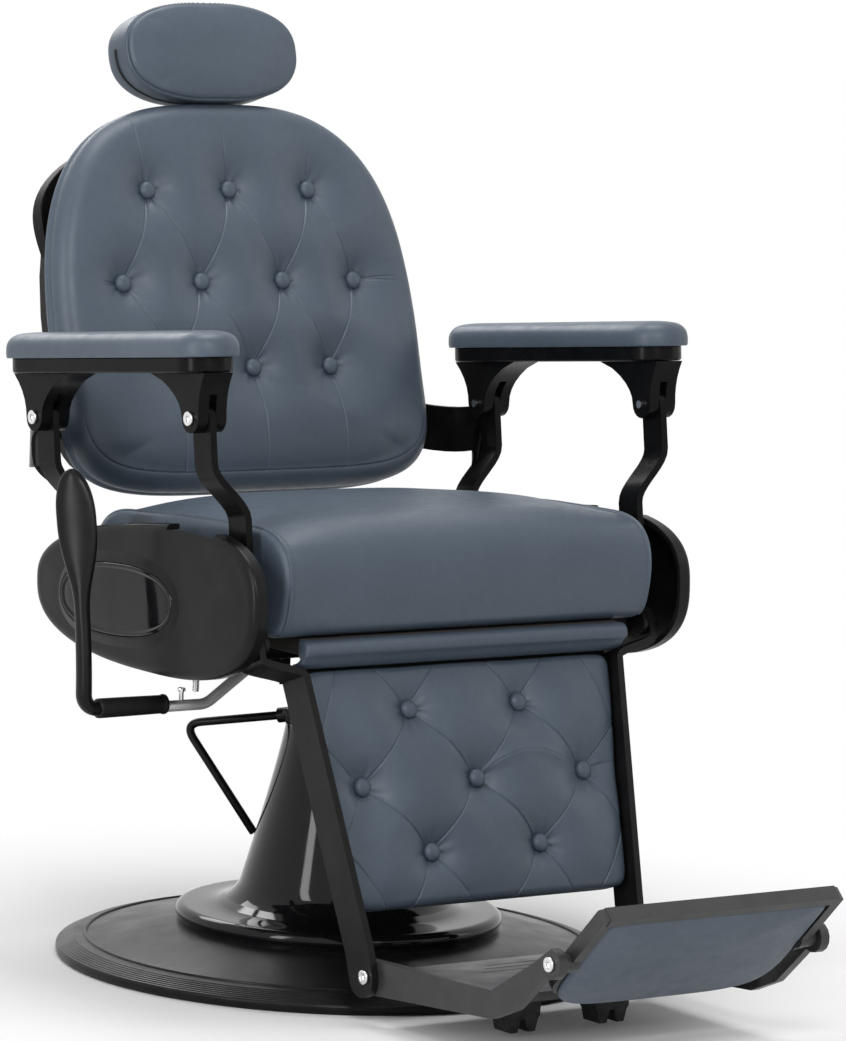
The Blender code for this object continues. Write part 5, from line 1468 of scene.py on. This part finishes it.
def make_cover(side, sign):
    """Hollow egg shaped cover with a low dome, a soft rim, a notch for the arm strap and two posts."""
    lip = cover_inner + 0.0008
    inside = ((0.0072, cover_outer - cover_wall), (0.0066, lip), (0.0058, cover_inner),
              (0.0008, cover_inner), (0.0, lip))
    rings = [cover_ring(*place) for place in inside]
    wide, deep = cover_edge
    face = cover_outer - cover_dome
    for turn in range(0, 91, 9):
        a = math.radians(turn)
        rings.append(cover_ring(wide * (1 - math.cos(a)) ** 1.3, face - deep + deep * math.sin(a)))
    for step in range(1, 9):
        share = step / 8
        rings.append(cover_ring(wide + 0.054 * share, face + cover_dome * math.sin(share * math.pi / 2)))
    matrix = cover_axes(sign, cover_middle)
    near, far = sorted((sign * (cover_inner - 0.01), sign * (cover_inner + notch_depth)))
    low = (near, notch_y[0], cover_middle.z + cover_half_height * 0.4)
    high = (far, notch_y[1], cover_middle.z + cover_half_height * 1.5)
    mesh = cut_away(moved(loft(rings), matrix), box_part(low, high))
    dress("cover_" + side, mesh, "seat", "black_paint", ("side_cover_" + side,), 38)
    posts = []
    post_reach = (post_foot, cover_outer - cover_wall - 0.0002)
    for offset in post_places:
        ends = [matrix @ Vector((offset, post_level, w)) for w in post_reach]
        posts.append(rounded_tube(ends, post_radius, 20))
    piece("cover_posts_" + side, joined(posts), "seat", "black_paint")


def badge_ring(inset, level):
    """The badge's outline, drawn in, at a level above the cover."""
    outline = egg(2 * badge_half_length, badge_half_height, badge_roundness, 0.0, inset)
    return [(u, v, badge_start + level) for u, v in outline]


def make_badge(side, sign):
    """Bare gloss oval, a raised rim round a low dome, in a soft collar."""
    profile = ((0.0004, 0.0), (0.0, 0.0008), (0.0003, 0.0022), (0.0014, 0.0034), (0.0032, 0.0040),
               (0.0050, 0.0035), (0.0060, 0.0026), (0.0068, 0.0023), (0.0080, 0.0025), (0.0120, 0.0030),
               (0.0170, 0.0034), (0.0240, 0.0037), (0.0320, 0.0039), (0.0400, 0.0040))
    collar = ((-0.0130, -0.0016), (-0.0100, -0.0002), (-0.0070, 0.0008), (-0.0040, 0.0020),
              (-0.0018, 0.0027), (-0.0004, 0.0024), (-0.0003, -0.0016))
    matrix = cover_axes(sign, badge_middle)
    oval_part = loft([badge_ring(*place) for place in profile])
    piece("badge_" + side, oval_part, "seat", "gloss_black", ("cover_badge_" + side,), 50, matrix)
    collar_part = closed_loft([badge_ring(*place) for place in collar])
    piece("badge_collar_" + side, collar_part, "seat", "black_paint", (), 60, matrix)


# Cheeks of the back brackets
strap_lean = math.radians(-8.46)
strap_half_width, strap_thickness = 0.018, 0.0085
strap_bend, strap_offset = (0.052, 0.062), 0.0415


def make_cheek(side, sign):
    """Rounded cheek behind the upper end of a back bracket, where its web turns inward."""
    low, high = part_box("rear_pin_" + side)
    middle = (low + high) / 2
    c, s = math.cos(strap_lean), math.sin(strap_lean)
    matrix = axes((sign * arm_x, middle.y, middle.z), (0, c, s), (0, s, -c), (sign, 0, 0))
    places = ((-0.004, 0.014), (0.006, 0.015), (0.014, 0.022), (0.0165, 0.034), (0.0155, 0.047),
              (0.011, 0.060), (0.004, 0.072), (-0.004, 0.081))
    outline = curve_through([(strap_half_width + out, down, 0) for out, down in places], 6)
    half = strap_thickness / 2 - 0.0002
    rings = []
    for inset, level in ((0.0012, -half), (0.0003, -half + 0.0004), (0.0, -half + 0.0012),
                         (0.0, half - 0.0016), (0.0005, half - 0.0005), (0.0016, half)):
        ring = []
        for p in outline:
            inward = strap_offset * ease((p.y - strap_bend[0]) / strap_bend[1])
            ring.append((p.x - inset, p.y, level - inward))
        rings.append(ring)
    piece("bracket_cheek_" + side, loft(rings), "back", "black_paint", (), 40, matrix, ENAMEL)


make_lock_bar()
make_lever()
make_grip()
make_stop_bolt()
make_clamp_screw()
for side, sign in SIDES:
    make_cover(side, sign)
    make_badge(side, sign)
    make_cheek(side, sign)
    for name in ("front_pin_", "rear_pin_", "footplate_screw_", "hinge_pin_"):
        make_pin(name + side)

enamelled = ("front_fork", "rear_fork", "arm_plate", "arm_strap", "back_bracket", "back_handle")
for node in sorted(set(nodes) - replaced):
    rework(node, ENAMEL if node.startswith(enamelled) else None)
